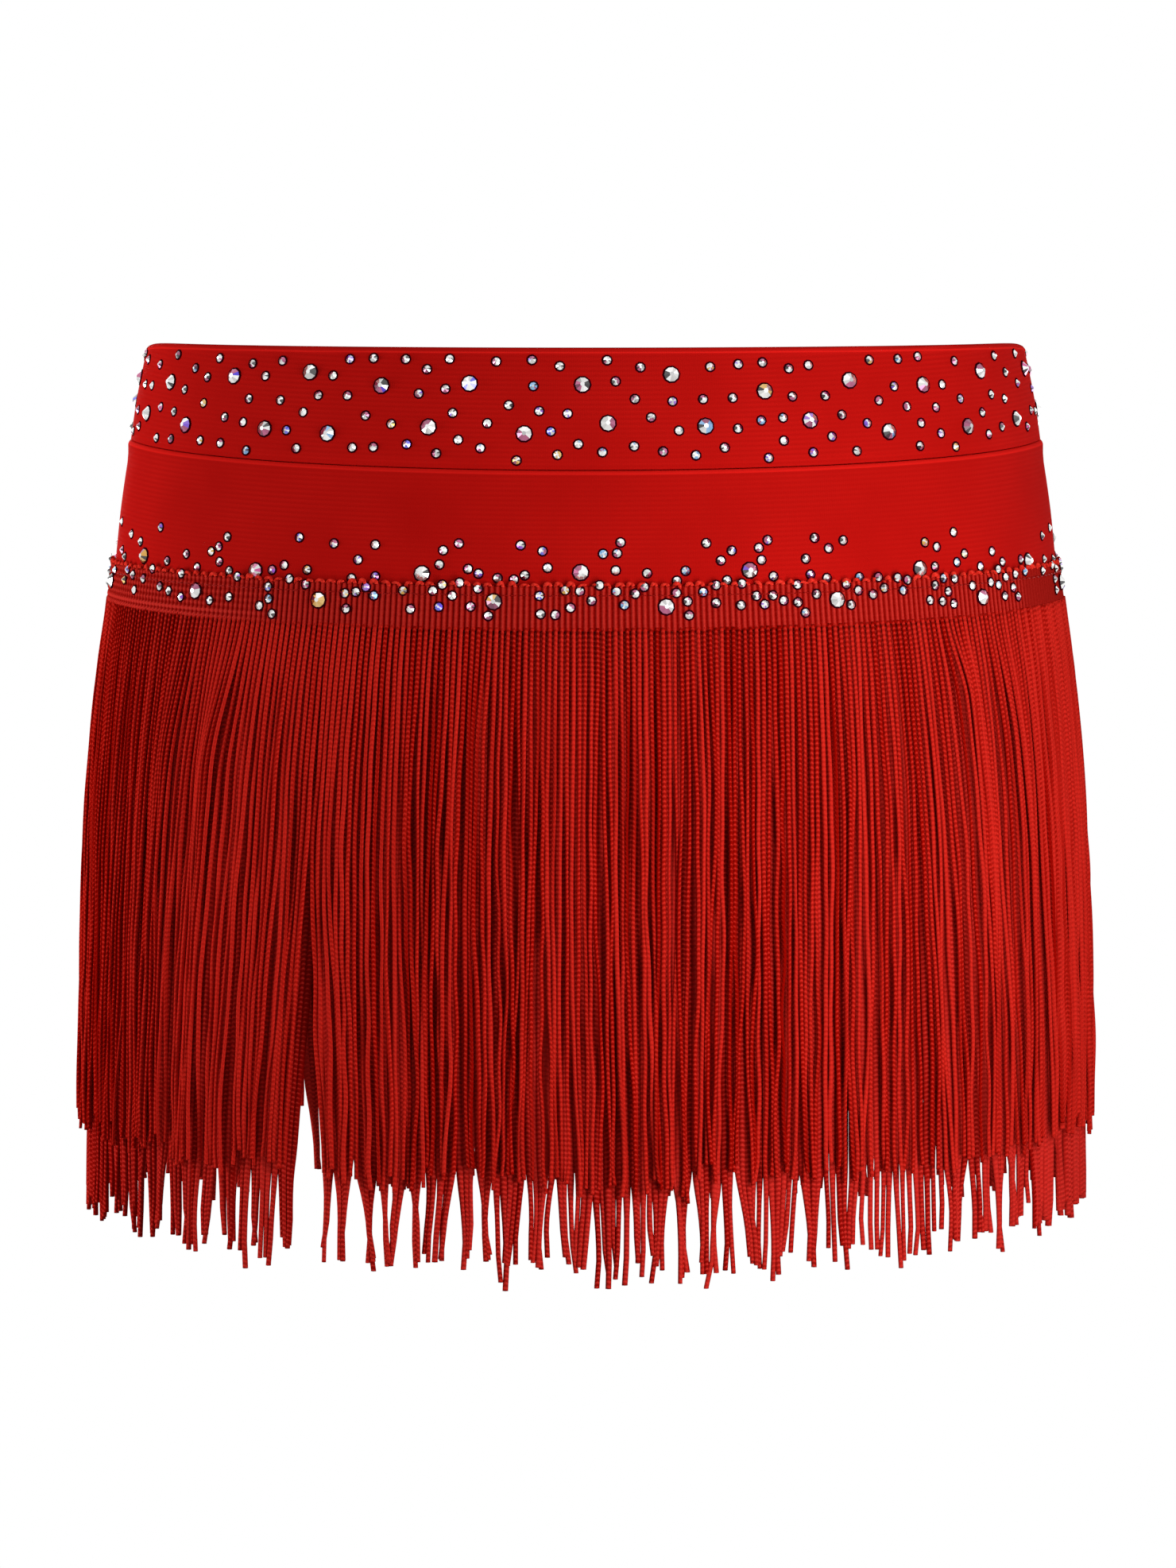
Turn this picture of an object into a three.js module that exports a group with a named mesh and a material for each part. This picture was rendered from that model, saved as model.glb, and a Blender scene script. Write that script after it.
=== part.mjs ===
// Latin dance skirt with a hip-hugger band and yoke of stretch knit and two rings of
// chainette fringe, standing open as it does when worn, with nobody in it.
// Millimetres, +Z up, front towards -Y. The origin is the middle of the waist opening, level
// with the band's top edge at the side seams.
import * as THREE from "three";

// Walls and gaps
const SEAM_GAP = 0.3;
const LAYER_GAP = 0.42; // between layers whose flats don't lie at the same turns
const BAND_WALL = 2.4; // knit folded over an elastic
const BAND_ROUNDING = 1.8; // height of the rolled top edge
const YOKE_WALL = 1.4;
const YOKE_LIP = 0.5; // the seam fold stands proud of the band
const YOKE_LIP_HEIGHT = 1.6;
const YOKE_LIP_CREST = 0.4; // share of the lip that is left at its very top
const TAPE_WALL = 1.2; // woven header of each fringe
const TAPE_BELOW_YOKE = 4; // the headers reach this far under the yoke's edge

// Fringe: locks of strands, each with four sides
const OUTER_LOCKS = 70; // in the front or the back half
const UNDER_LOCKS = 50;
const LOCK_GAP = 0.9; // between two roots, along the tape
const LOCK_THICKNESS = 2;
const UNDER_CLEARANCE = 2.1; // from the cloth's surface in to the under locks
const UNDER_CLEARANCE_AT_TIPS = 0.8;
const OUTER_RINGS = [0.2, 0.5, 1]; // fractions of a lock's length that have a ring of corners
const UNDER_RINGS = [0.18, 0.6, 1];
const OUTER_RAGGED = 5; // the longest and shortest lock differ from the hem by this
const UNDER_RAGGED = 6;
const TIP_SLANT = 3.5; // a lock's cut end slopes by up to this
const LOCK_LIFT = 0.5; // locks stand out from one another by up to this

const COLUMNS = 48; // of a plain wall, in the front or the back half
const CLOTH_ROWS = 3;
const MEASURE_STEPS = 240; // of the tape measure laid along the hips

// The band's rolled edge: how far below the top a row lies, and how far in from either face,
// as shares of the rounding's height and of the wall.
const BAND_ROLL = [
  { below: 1, inset: 0 },
  { below: 0.3, inset: 0.18 },
  { below: 0, inset: 0.38 },
];

// The outside of the cloth, section by section down from the waist: half the width, and how
// far the front and the back stand from the middle.
const SECTIONS = [
  { drop: 0, halfWidth: 152.4, front: 97.5, back: 101.5 },
  { drop: 20, halfWidth: 156.3, front: 101.0, back: 105.5 },
  { drop: 38, halfWidth: 159.2, front: 103.8, back: 109.8 },
  { drop: 58, halfWidth: 162.2, front: 106.4, back: 114.8 },
  { drop: 76, halfWidth: 164.1, front: 108.4, back: 119.0 },
  { drop: 90, halfWidth: 165.8, front: 109.8, back: 121.8 },
  { drop: 110, halfWidth: 168.8, front: 111.4, back: 124.6 },
  { drop: 132, halfWidth: 171.2, front: 112.8, back: 126.6 },
  { drop: 160, halfWidth: 173.4, front: 114.0, back: 127.8 },
  { drop: 192, halfWidth: 174.8, front: 115.0, back: 128.4 },
  { drop: 242, halfWidth: 176.1, front: 115.8, back: 128.8 },
  { drop: 320, halfWidth: 176.6, front: 116.2, back: 129.0 },
];

// How far each seam and hem hangs below the waist at the sides and at the two middles
const LINES = {
  topEdge: { side: 0, front: 1.9, back: 2.6 },
  bandSeam: { side: 33.8, front: 42.7, back: 39.5 },
  tapeTop: { side: 76, front: 81, back: 82 },
  tapeBottom: { side: 89.8, front: 96, back: 97 },
  shortHem: { side: 269, front: 280, back: 282 },
  longHem: { side: 298, front: 309, back: 310 },
};
const LINE_SHARPNESS = 0.2; // smaller makes the lines fall off faster beside the side seams

// Where strands lean together. A place is in mm along the cloth from the front or back middle,
// towards +X in front and towards -X behind; shift is what the tips move by, lift is outwards.
const SWEEPS = [
  { half: "front", place: -128, spread: 42, shift: -5.0, lift: 0.5 },
  { half: "front", place: -52, spread: 36, shift: 2.5, lift: 0.0 },
  { half: "front", place: 64, spread: 40, shift: -2.5, lift: 0.2 },
  { half: "front", place: 130, spread: 32, shift: 5.0, lift: 1.0 },
  { half: "back", place: -112, spread: 46, shift: -4.0, lift: 0.5 },
  { half: "back", place: 18, spread: 50, shift: 3.5, lift: 0.2 },
  { half: "back", place: 138, spread: 38, shift: 4.0, lift: 0.7 },
];

// Where strands part below some fraction of their length, and how far they draw aside
const PARTINGS = [
  { half: "front", place: -90, width: 8.0, from: 0.35, reach: 46 },
  { half: "front", place: -14, width: 3.0, from: 0.65, reach: 30 },
  { half: "front", place: 108, width: 2.6, from: 0.25, reach: 34 },
  { half: "back", place: -60, width: 4.5, from: 0.45, reach: 40 },
  { half: "back", place: 84, width: 3.5, from: 0.6, reach: 36 },
];

const HALVES = {
  front: { depth: "front", start: -Math.PI / 2, away: -1 },
  back: { depth: "back", start: Math.PI / 2, away: 1 },
};

const sectionCurve = new THREE.CubicInterpolant(
  SECTIONS.map((row) => row.drop),
  SECTIONS.flatMap((row) => [row.halfWidth, row.front, row.back]),
  3,
);

/** Half width and depth of the cloth's outside in one half, at a height. */
function sectionAt(half, z) {
  const [halfWidth, front, back] = sectionCurve.evaluate(-z);
  return { halfWidth, depth: half.depth === "front" ? front : back };
}

/** A point on the cloth's outside, moved out by an offset, at a turn from the front middle. */
function clothPoint(half, turn, z, offset) {
  const { halfWidth, depth } = sectionAt(half, z);
  const normal = new THREE.Vector2(Math.sin(turn) / halfWidth, -Math.cos(turn) / depth).normalize();
  return new THREE.Vector3(
    halfWidth * Math.sin(turn) + offset * normal.x,
    -depth * Math.cos(turn) + offset * normal.y + (half.away * SEAM_GAP) / 2,
    z,
  );
}

/** Length of cloth from a half's first seam to each of many turns, at the hips. */
function measureHalf(half) {
  const hips = sectionAt(half, -LINES.tapeBottom.side);
  const lengths = [0];
  for (let i = 0; i < MEASURE_STEPS; i++) {
    const turn = half.start + (Math.PI * (i + 0.5)) / MEASURE_STEPS;
    const speed = Math.hypot(hips.halfWidth * Math.cos(turn), hips.depth * Math.sin(turn));
    lengths.push(lengths[i] + (speed * Math.PI) / MEASURE_STEPS);
  }
  return { lengths, total: lengths[MEASURE_STEPS] };
}

for (const half of Object.values(HALVES)) {
  half.measure = measureHalf(half);
}

/** The turn that lies a length of cloth past a half's first seam. */
function turnAt(half, length) {
  const { lengths, total } = half.measure;
  const wanted = THREE.MathUtils.clamp(length, 0, total);
  const next = Math.max(1, lengths.findIndex((value) => value >= wanted));
  const part = (wanted - lengths[next - 1]) / (lengths[next] - lengths[next - 1]);
  return half.start + (Math.PI * (next - 1 + part)) / MEASURE_STEPS;
}

/** Height of a named line at a turn: it dips from the side seams to the two middles. */
function lineHeight(name, turn) {
  const line = LINES[name];
  const across = Math.cos(turn);
  const rounded = Math.hypot(across, LINE_SHARPNESS) - LINE_SHARPNESS;
  const dip = rounded / (Math.hypot(1, LINE_SHARPNESS) - LINE_SHARPNESS);
  const middle = across >= 0 ? line.front : line.back;
  return -(line.side + (middle - line.side) * dip);
}

/** An even scatter between -1 and 1 that is the same every time for one lock. */
function scatter(index, kind) {
  const value = Math.sin(index * 12.9898 + kind * 78.233) * 43758.5453;
  return 2 * (value - Math.floor(value)) - 1;
}

/** Points and triangles of one closed solid. */
class Solid {
  constructor() {
    this.positions = [];
    this.triangles = [];
  }

  point(position) {
    this.positions.push(position.x, position.y, position.z);
    return this.positions.length / 3 - 1;
  }

  /** Four corners, anticlockwise as seen from outside. */
  quad(a, b, c, d) {
    this.triangles.push(a, b, c, a, c, d);
  }

  geometry() {
    const shape = new THREE.BufferGeometry();
    shape.setAttribute("position", new THREE.Float32BufferAttribute(this.positions, 3));
    shape.setIndex(this.triangles);
    shape.computeVertexNormals();
    return shape;
  }
}

/** One upright slice of a wall: matching outside and inside points, from the bottom up. */
function addSlice(solid, outside, inside) {
  return {
    outer: outside.map((position) => solid.point(position)),
    inner: inside.map((position) => solid.point(position)),
  };
}

/** The wall between two slices, with its underside left open where it isn't wanted. */
function joinSlices(solid, left, right, withUnderside) {
  const top = left.outer.length - 1;
  for (let i = 0; i < top; i++) {
    solid.quad(left.outer[i], right.outer[i], right.outer[i + 1], left.outer[i + 1]);
    solid.quad(right.inner[i], left.inner[i], left.inner[i + 1], right.inner[i + 1]);
  }
  solid.quad(left.outer[top], right.outer[top], right.inner[top], left.inner[top]);
  if (withUnderside) {
    solid.quad(left.outer[0], left.inner[0], right.inner[0], right.outer[0]);
  }
}

/** The two upright ends of a wall, which face the side seams. */
function closeEnds(solid, first, last) {
  for (let i = 0; i < first.outer.length - 1; i++) {
    solid.quad(first.inner[i], first.outer[i], first.outer[i + 1], first.inner[i + 1]);
    solid.quad(last.outer[i], last.inner[i], last.inner[i + 1], last.outer[i + 1]);
  }
}

/** A wall whose section at each turn is a list of heights with an outer and inner offset. */
function clothWall(half, sectionOf) {
  const solid = new Solid();
  const slices = [];
  for (let i = 0; i <= COLUMNS; i++) {
    const turn = half.start + (Math.PI * i) / COLUMNS;
    const rows = sectionOf(turn);
    const outside = rows.map((row) => clothPoint(half, turn, row.z, row.outer));
    const inside = rows.map((row) => clothPoint(half, turn, row.z, row.inner));
    slices.push(addSlice(solid, outside, inside));
  }
  for (let i = 0; i < COLUMNS; i++) {
    joinSlices(solid, slices[i], slices[i + 1], true);
  }
  closeEnds(solid, slices[0], slices[COLUMNS]);
  return solid.geometry();
}

/** Waistband: a folded wall with a rolled top edge. */
function waistband(half) {
  return clothWall(half, (turn) => {
    const bottom = lineHeight("bandSeam", turn) + SEAM_GAP / 2;
    const top = lineHeight("topEdge", turn);
    const rows = [];
    for (let i = 0; i < CLOTH_ROWS - 1; i++) {
      const z = THREE.MathUtils.lerp(bottom, top - BAND_ROUNDING, i / (CLOTH_ROWS - 1));
      rows.push({ z, outer: 0, inner: -BAND_WALL });
    }
    for (const { below, inset } of BAND_ROLL) {
      const z = top - BAND_ROUNDING * below;
      rows.push({ z, outer: -BAND_WALL * inset, inner: -BAND_WALL * (1 - inset) });
    }
    return rows;
  });
}

/** Hip yoke: one layer whose upper edge is folded over the band's seam. */
function yoke(half) {
  return clothWall(half, (turn) => {
    const bottom = lineHeight("tapeBottom", turn) + TAPE_BELOW_YOKE;
    const top = lineHeight("bandSeam", turn) - SEAM_GAP / 2;
    const underLip = top - YOKE_LIP_HEIGHT;
    const rows = [];
    for (let i = 0; i <= CLOTH_ROWS; i++) {
      const z = THREE.MathUtils.lerp(bottom, underLip, i / CLOTH_ROWS);
      rows.push({ z, outer: i === CLOTH_ROWS ? YOKE_LIP : 0, inner: -YOKE_WALL });
    }
    rows.push({ z: top, outer: YOKE_LIP * YOKE_LIP_CREST, inner: -YOKE_WALL });
    return rows;
  });
}

/** How far the strands at a place have moved along the cloth, partway down their length. */
function sweepShift(rows, place, fraction) {
  let shift = 0;
  for (const row of rows) {
    const reach = (place - row.place) / row.spread;
    shift += row.shift * Math.exp(-reach * reach) * fraction;
  }
  return shift;
}

/** How far a lock is drawn aside from the partings near it. */
function partingShift(rows, place, fraction) {
  let shift = 0;
  for (const row of rows) {
    const away = place - row.place;
    const opened = THREE.MathUtils.smoothstep(fraction, row.from, 1);
    shift += (Math.sign(away) * row.width * opened * Math.exp(-Math.abs(away) / row.reach)) / 2;
  }
  return shift;
}

/** How far the sweeps lift the strands at a place off the cloth's surface. */
function sweepLift(rows, place) {
  let lift = 0;
  for (const row of rows) {
    const reach = (place - row.place) / row.spread;
    lift += row.lift * Math.exp(-reach * reach);
  }
  return lift;
}

/** A header tape with its ring of locks hanging from it, as one solid. */
function fringe(half, name, ring) {
  const { total } = half.measure;
  const sweeps = SWEEPS.filter((row) => row.half === name);
  const partings = PARTINGS.filter((row) => row.half === name);
  const pitch = total / ring.locks;
  const solid = new Solid();

  const tapeSlice = (length) => {
    const turn = turnAt(half, length);
    const heights = [lineHeight("tapeBottom", turn), lineHeight("tapeTop", turn)];
    return addSlice(
      solid,
      heights.map((z) => clothPoint(half, turn, z, ring.tapeOuter)),
      heights.map((z) => clothPoint(half, turn, z, ring.tapeOuter - TAPE_WALL)),
    );
  };

  const first = tapeSlice(0);
  let before = first;
  for (let i = 0; i < ring.locks; i++) {
    const start = pitch * i + LOCK_GAP / 2;
    const end = pitch * (i + 1) - LOCK_GAP / 2;
    const left = tapeSlice(start);
    const right = tapeSlice(end);
    joinSlices(solid, before, left, true);
    joinSlices(solid, left, right, false);
    hangLock(i, start, end, left, right);
    before = right;
  }
  const last = tapeSlice(total);
  joinSlices(solid, before, last, true);
  closeEnds(solid, first, last);
  return solid.geometry();

  /** One lock: rings of four corners down from the tape, and a slanted cut end. */
  function hangLock(index, start, end, left, right) {
    const place = (start + end) / 2 - total / 2;
    const rootTurn = turnAt(half, (start + end) / 2);
    const root = lineHeight("tapeBottom", rootTurn);
    const length = root - lineHeight(ring.hem, rootTurn) + ring.ragged * scatter(index, ring.kind);
    const slant = TIP_SLANT * scatter(index, ring.kind + 1);
    const lift = LOCK_LIFT * Math.abs(scatter(index, ring.kind + 2)) + sweepLift(sweeps, place);
    let above = [left.outer[0], right.outer[0], right.inner[0], left.inner[0]];
    for (const fraction of ring.rings) {
      const aside = partingShift(partings, place, fraction);
      const leftLength = start + aside + sweepShift(sweeps, start - total / 2, fraction);
      const rightLength = end + aside + sweepShift(sweeps, end - total / 2, fraction);
      const leftTurn = turnAt(half, leftLength);
      const rightTurn = turnAt(half, rightLength);
      const z = root - length * fraction;
      const tilt = fraction === 1 ? slant / 2 : 0;
      const outer = ring.outerAt(fraction) + ring.liftSign * lift * fraction;
      const inner = outer - LOCK_THICKNESS;
      const corners = [
        clothPoint(half, leftTurn, z + tilt, outer),
        clothPoint(half, rightTurn, z - tilt, outer),
        clothPoint(half, rightTurn, z - tilt, inner),
        clothPoint(half, leftTurn, z + tilt, inner),
      ].map((position) => solid.point(position));
      for (let side = 0; side < 4; side++) {
        const next = (side + 1) % 4;
        solid.quad(corners[side], corners[next], above[next], above[side]);
      }
      above = corners;
    }
    solid.quad(above[0], above[3], above[2], above[1]);
  }
}

/** The two fringes: where each one's tape lies, how many locks it has and how they hang. */
const RINGS = {
  outer: {
    locks: OUTER_LOCKS,
    rings: OUTER_RINGS,
    hem: "shortHem",
    ragged: OUTER_RAGGED,
    kind: 1,
    liftSign: 1,
    tapeOuter: LAYER_GAP + TAPE_WALL,
    outerAt: () => LAYER_GAP + TAPE_WALL,
  },
  under: {
    locks: UNDER_LOCKS,
    rings: UNDER_RINGS,
    hem: "longHem",
    ragged: UNDER_RAGGED,
    kind: 7,
    liftSign: -1,
    tapeOuter: -YOKE_WALL - LAYER_GAP,
    outerAt: (fraction) =>
      -THREE.MathUtils.lerp(
        UNDER_CLEARANCE,
        UNDER_CLEARANCE_AT_TIPS,
        THREE.MathUtils.smoothstep(fraction, UNDER_RINGS[1], 1),
      ),
  },
};

const knitRed = { color: 0xb01512, roughness: 0.8, metalness: 0 };
const fringeRed = { color: 0xa01410, roughness: 0.6, metalness: 0 };
const underRed = { color: 0x90110e, roughness: 0.6, metalness: 0 };

/** A named mesh with a material of its own. */
function piece(name, shape, look) {
  const mesh = new THREE.Mesh(shape, new THREE.MeshStandardMaterial(look));
  mesh.name = name;
  return mesh;
}

const skirt = new THREE.Group();
for (const [name, half] of Object.entries(HALVES)) {
  skirt.add(piece(`waistband_${name}`, waistband(half), knitRed));
  skirt.add(piece(`yoke_${name}`, yoke(half), knitRed));
  skirt.add(piece(`fringe_outer_${name}`, fringe(half, name, RINGS.outer), fringeRed));
  skirt.add(piece(`fringe_under_${name}`, fringe(half, name, RINGS.under), underRed));
}

export default skirt;
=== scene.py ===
"""A latin dance skirt: knit band and yoke, two rings of chainette fringe, flat-back stones.

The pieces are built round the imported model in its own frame: +Z up, the front towards -Y, the
origin in the middle of the waist opening. Lengths in the tables are millimetres, as a maker
measures them, and meshes are made in metres.
"""

from __future__ import annotations

import logging
import math
from collections.abc import Callable
from dataclasses import dataclass
from enum import Enum
from functools import partial
from typing import Any, NamedTuple

import bmesh
import bpy
import numpy as np
from mathutils import Matrix, Vector

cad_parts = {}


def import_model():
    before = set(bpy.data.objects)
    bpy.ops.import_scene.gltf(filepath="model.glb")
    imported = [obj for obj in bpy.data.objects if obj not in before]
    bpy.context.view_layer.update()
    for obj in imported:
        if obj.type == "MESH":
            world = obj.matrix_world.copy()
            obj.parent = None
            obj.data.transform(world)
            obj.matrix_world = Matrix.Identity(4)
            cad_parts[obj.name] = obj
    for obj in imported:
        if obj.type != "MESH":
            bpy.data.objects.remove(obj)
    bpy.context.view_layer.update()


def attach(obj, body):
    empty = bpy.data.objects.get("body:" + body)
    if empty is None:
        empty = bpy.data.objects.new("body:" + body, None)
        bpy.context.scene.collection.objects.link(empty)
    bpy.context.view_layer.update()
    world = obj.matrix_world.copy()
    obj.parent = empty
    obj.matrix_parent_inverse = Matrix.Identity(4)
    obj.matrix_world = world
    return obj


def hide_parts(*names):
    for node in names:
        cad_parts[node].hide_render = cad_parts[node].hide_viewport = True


MM = 0.001
LOG = logging.getLogger("skirt")
Array = np.ndarray
Chance = np.random.Generator
Finish = bpy.types.Material
Mesh = bpy.types.Mesh
Node = bpy.types.Node
Piece = bpy.types.Object
Socket = bpy.types.NodeSocket
Tree = bpy.types.NodeTree


class Half(Enum):
    """The front or the back half of the skirt, which meet at the two side seams."""

    FRONT = "front"
    BACK = "back"

    @property
    def start(self) -> float:
        """Turn of the half's first side seam, from the front middle."""
        return -math.pi / 2 if self is Half.FRONT else math.pi / 2

    @property
    def away(self) -> int:
        """Which way along Y the half lies."""
        return -1 if self is Half.FRONT else 1


class Section(NamedTuple):
    """The cloth's outside at one height: half its width, and its depth before and behind."""

    drop: float
    half_width: float
    front: float
    back: float


class Line(NamedTuple):
    """How far a seam or hem hangs below the waist at the sides and at the two middles."""

    side: float
    front: float
    back: float


class Sweep(NamedTuple):
    """Strands that lean together: where, how widely, how far at the tips, how far outwards."""

    half: Half
    place: float
    spread: float
    shift: float
    lift: float


class Parting(NamedTuple):
    """Strands that part: where, how widely, from what share of their length, how far felt."""

    half: Half
    place: float
    width: float
    start: float
    reach: float


SECTIONS = (
    Section(drop=0, half_width=152.4, front=97.5, back=101.5),
    Section(drop=20, half_width=156.3, front=101.0, back=105.5),
    Section(drop=38, half_width=159.2, front=103.8, back=109.8),
    Section(drop=58, half_width=162.2, front=106.4, back=114.8),
    Section(drop=76, half_width=164.1, front=108.4, back=119.0),
    Section(drop=90, half_width=165.8, front=109.8, back=121.8),
    Section(drop=110, half_width=168.8, front=111.4, back=124.6),
    Section(drop=132, half_width=171.2, front=112.8, back=126.6),
    Section(drop=160, half_width=173.4, front=114.0, back=127.8),
    Section(drop=192, half_width=174.8, front=115.0, back=128.4),
    Section(drop=242, half_width=176.1, front=115.8, back=128.8),
    Section(drop=320, half_width=176.6, front=116.2, back=129.0),
)
LINES = {
    "top_edge": Line(side=0, front=1.9, back=2.6),
    "band_seam": Line(side=33.8, front=42.7, back=39.5),
    "tape_top": Line(side=76, front=81, back=82),
    "tape_bottom": Line(side=89.8, front=96, back=97),
    "short_hem": Line(side=269, front=280, back=282),
    "long_hem": Line(side=298, front=309, back=310),
}
SWEEPS = (
    Sweep(Half.FRONT, place=-128, spread=42, shift=-5.0, lift=0.5),
    Sweep(Half.FRONT, place=-68, spread=34, shift=-2.6, lift=0.0),
    Sweep(Half.FRONT, place=64, spread=40, shift=-2.5, lift=0.2),
    Sweep(Half.FRONT, place=130, spread=32, shift=5.0, lift=1.0),
    Sweep(Half.BACK, place=-112, spread=46, shift=-4.0, lift=0.5),
    Sweep(Half.BACK, place=18, spread=50, shift=3.5, lift=0.2),
    Sweep(Half.BACK, place=138, spread=38, shift=4.0, lift=0.7),
)
PARTINGS = (
    Parting(Half.FRONT, place=-87, width=11.0, start=0.33, reach=40),
    Parting(Half.FRONT, place=-14, width=3.0, start=0.65, reach=30),
    Parting(Half.FRONT, place=108, width=2.6, start=0.25, reach=34),
    Parting(Half.BACK, place=-60, width=4.5, start=0.45, reach=40),
    Parting(Half.BACK, place=103, width=8.5, start=0.42, reach=40),
)


def smoothstep(value: Array, low: float, high: float) -> Array:
    """Rises smoothly from 0 at low to 1 at high.

    Args:
        value: where to read the step.
        low: where it starts.
        high: where it ends.

    Returns:
        The step's height, in the shape of value.
    """
    part = np.clip((value - low) / (high - low), 0.0, 1.0)
    return part * part * (3.0 - 2.0 * part)


@dataclass(frozen=True)
class Form:
    """The worn skirt's outside surface, which every piece is laid on."""

    seam_gap: float = 0.3
    line_sharpness: float = 0.2
    measure_steps: int = 240
    past_seams: float = 30.0

    def widths(self, z: Array) -> tuple[Array, Array, Array]:
        """Half width and depths of the surface at heights in mm.

        Args:
            z: heights in mm, 0 at the waist and negative below it.

        Returns:
            Half width, front depth and back depth, each in the shape of z.
        """
        drops = np.array([row.drop for row in SECTIONS], float)
        drop = np.clip(-np.asarray(z, float), drops[0], drops[-1])
        upper = np.clip(np.searchsorted(drops, drop, side="right"), 1, len(drops) - 1)
        lower = upper - 1
        step = drops[upper] - drops[lower]
        t = (drop - drops[lower]) / step
        found = []
        for column in ("half_width", "front", "back"):
            values = np.array([getattr(row, column) for row in SECTIONS], float)
            slopes = np.gradient(values, drops)
            found.append(
                (2 * t**3 - 3 * t**2 + 1) * values[lower]
                + (t**3 - 2 * t**2 + t) * step * slopes[lower]
                + (3 * t**2 - 2 * t**3) * values[upper]
                + (t**3 - t**2) * step * slopes[upper]
            )
        return found[0], found[1], found[2]

    def normal(self, turn: Array, z: Array) -> tuple[Array, Array]:
        """The level outward normal.

        Args:
            turn: turns from the front middle, in radians.
            z: heights in mm.

        Returns:
            Its X and its Y.
        """
        half_width, front, back = self.widths(z)
        depth = np.where(np.cos(turn) >= 0, front, back)
        x = np.sin(turn) / half_width
        y = -np.cos(turn) / depth
        size = np.hypot(x, y)
        return x / size, y / size

    def point(self, half: Half, turn: Array, z: Array, offset: Array) -> Array:
        """Points on the surface, moved out along its level normal.

        Args:
            half: the half that the piece belongs to, which sets the side of the seam gap.
            turn: turns from the front middle, in radians.
            z: heights in mm.
            offset: distances outwards in mm.

        Returns:
            Points in metres, with one more axis than the inputs.
        """
        turn, z, offset = np.broadcast_arrays(turn, z, offset)
        half_width, front, back = self.widths(z)
        depth = np.where(np.cos(turn) >= 0, front, back)
        normal_x, normal_y = self.normal(turn, z)
        x = half_width * np.sin(turn) + offset * normal_x
        y = -depth * np.cos(turn) + offset * normal_y + half.away * self.seam_gap / 2
        return np.stack([x, y, z], axis=-1) * MM

    def _tape_measure(self, half: Half) -> tuple[Array, Array]:
        """Measures the cloth round a half at the hips, and a little past its two seams.

        Args:
            half: the half to measure along.

        Returns:
            Turns from the front middle, and the lengths in mm to them from the first seam.
        """
        half_width, front, back = self.widths(np.array(-LINES["tape_bottom"].side))
        depth = front if half is Half.FRONT else back
        steps = (np.arange(self.measure_steps) + 0.5) / self.measure_steps
        middles = half.start + math.pi * steps
        speeds = np.hypot(half_width * np.cos(middles), depth * np.sin(middles))
        lengths = np.concatenate([[0.0], np.cumsum(speeds * math.pi / self.measure_steps)])
        turns = half.start + math.pi * np.arange(self.measure_steps + 1) / self.measure_steps
        past = self.past_seams
        turns = np.concatenate([[turns[0] - past / depth], turns, [turns[-1] + past / depth]])
        return turns, np.concatenate([[lengths[0] - past], lengths, [lengths[-1] + past]])

    def total(self, half: Half) -> float:
        """Length of cloth round a half at the hips, in mm."""
        return float(self._tape_measure(half)[1][-2])

    def turn_at(self, half: Half, length: Array) -> Array:
        """Turns that lie lengths of cloth past a half's first seam.

        Args:
            half: the half to measure along.
            length: lengths in mm; a little before or past the half runs on round the seam.

        Returns:
            Turns from the front middle, in radians.
        """
        turns, lengths = self._tape_measure(half)
        return np.interp(length, lengths, turns)

    def beside(
        self, side: int, half: Half, length: Array, reach: tuple[float, float], fade: float
    ) -> Array:
        """Marks the strip round one side seam.

        Args:
            side: 1 for the seam on +X, -1 for the one on -X.
            half: the half to mark.
            length: lengths along it in mm.
            reach: how far the strip goes in front of the seam and behind it, in mm.
            fade: over how many mm it fades out.

        Returns:
            1 in the strip and 0 away from it, in the shape of length.
        """
        from_seam = self.total(half) - length if side == -half.away else length
        end = reach[0] if half is Half.FRONT else reach[1]
        return 1 - smoothstep(from_seam, end - fade, end)

    def line(self, name: str, turn: Array) -> Array:
        """The height of a seam or hem, which dips towards the two middles.

        Args:
            name: its name in the table of lines.
            turn: turns from the front middle, in radians.

        Returns:
            Heights in mm, in the shape of turn.
        """
        row = LINES[name]
        across = np.cos(turn)
        sharp = self.line_sharpness
        dip = (np.hypot(across, sharp) - sharp) / (math.hypot(1, sharp) - sharp)
        middle = np.where(across >= 0, row.front, row.back)
        return -(row.side + (middle - row.side) * dip)


FORM = Form()


def linear(hex_colour: str) -> tuple[float, float, float, float]:
    """An sRGB hex colour as linear red, green, blue and alpha.

    Args:
        hex_colour: six hex digits with a leading hash.

    Returns:
        Linear values from 0 to 1, with alpha 1.
    """
    parts = [int(hex_colour[i : i + 2], 16) / 255 for i in (1, 3, 5)]
    red, green, blue = (
        part / 12.92 if part <= 0.04045 else ((part + 0.055) / 1.055) ** 2.4 for part in parts
    )
    return red, green, blue, 1.0


def add_node(
    tree: Tree, kind: str, *values: Any, inputs: dict | None = None, **settings: Any
) -> Node:
    """Adds a shader node.

    A value is a number or colour to set, an output socket to link, or a node, whose first
    output is linked.

    Args:
        tree: the material's node tree.
        kind: the node's type without its prefix, such as Math.
        values: what its first inputs get, in order.
        inputs: what other inputs get, by name or number.
        settings: its own properties by name.

    Returns:
        The new node.
    """
    node = tree.nodes.new(f"ShaderNode{kind}")
    for name, value in settings.items():
        setattr(node, name, value)
    for key, value in {**dict(enumerate(values)), **(inputs or {})}.items():
        if isinstance(value, Node):
            value = value.outputs[0]
        if isinstance(value, Socket):
            tree.links.new(value, node.inputs[key])
        else:
            node.inputs[key].default_value = value
    return node


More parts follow.
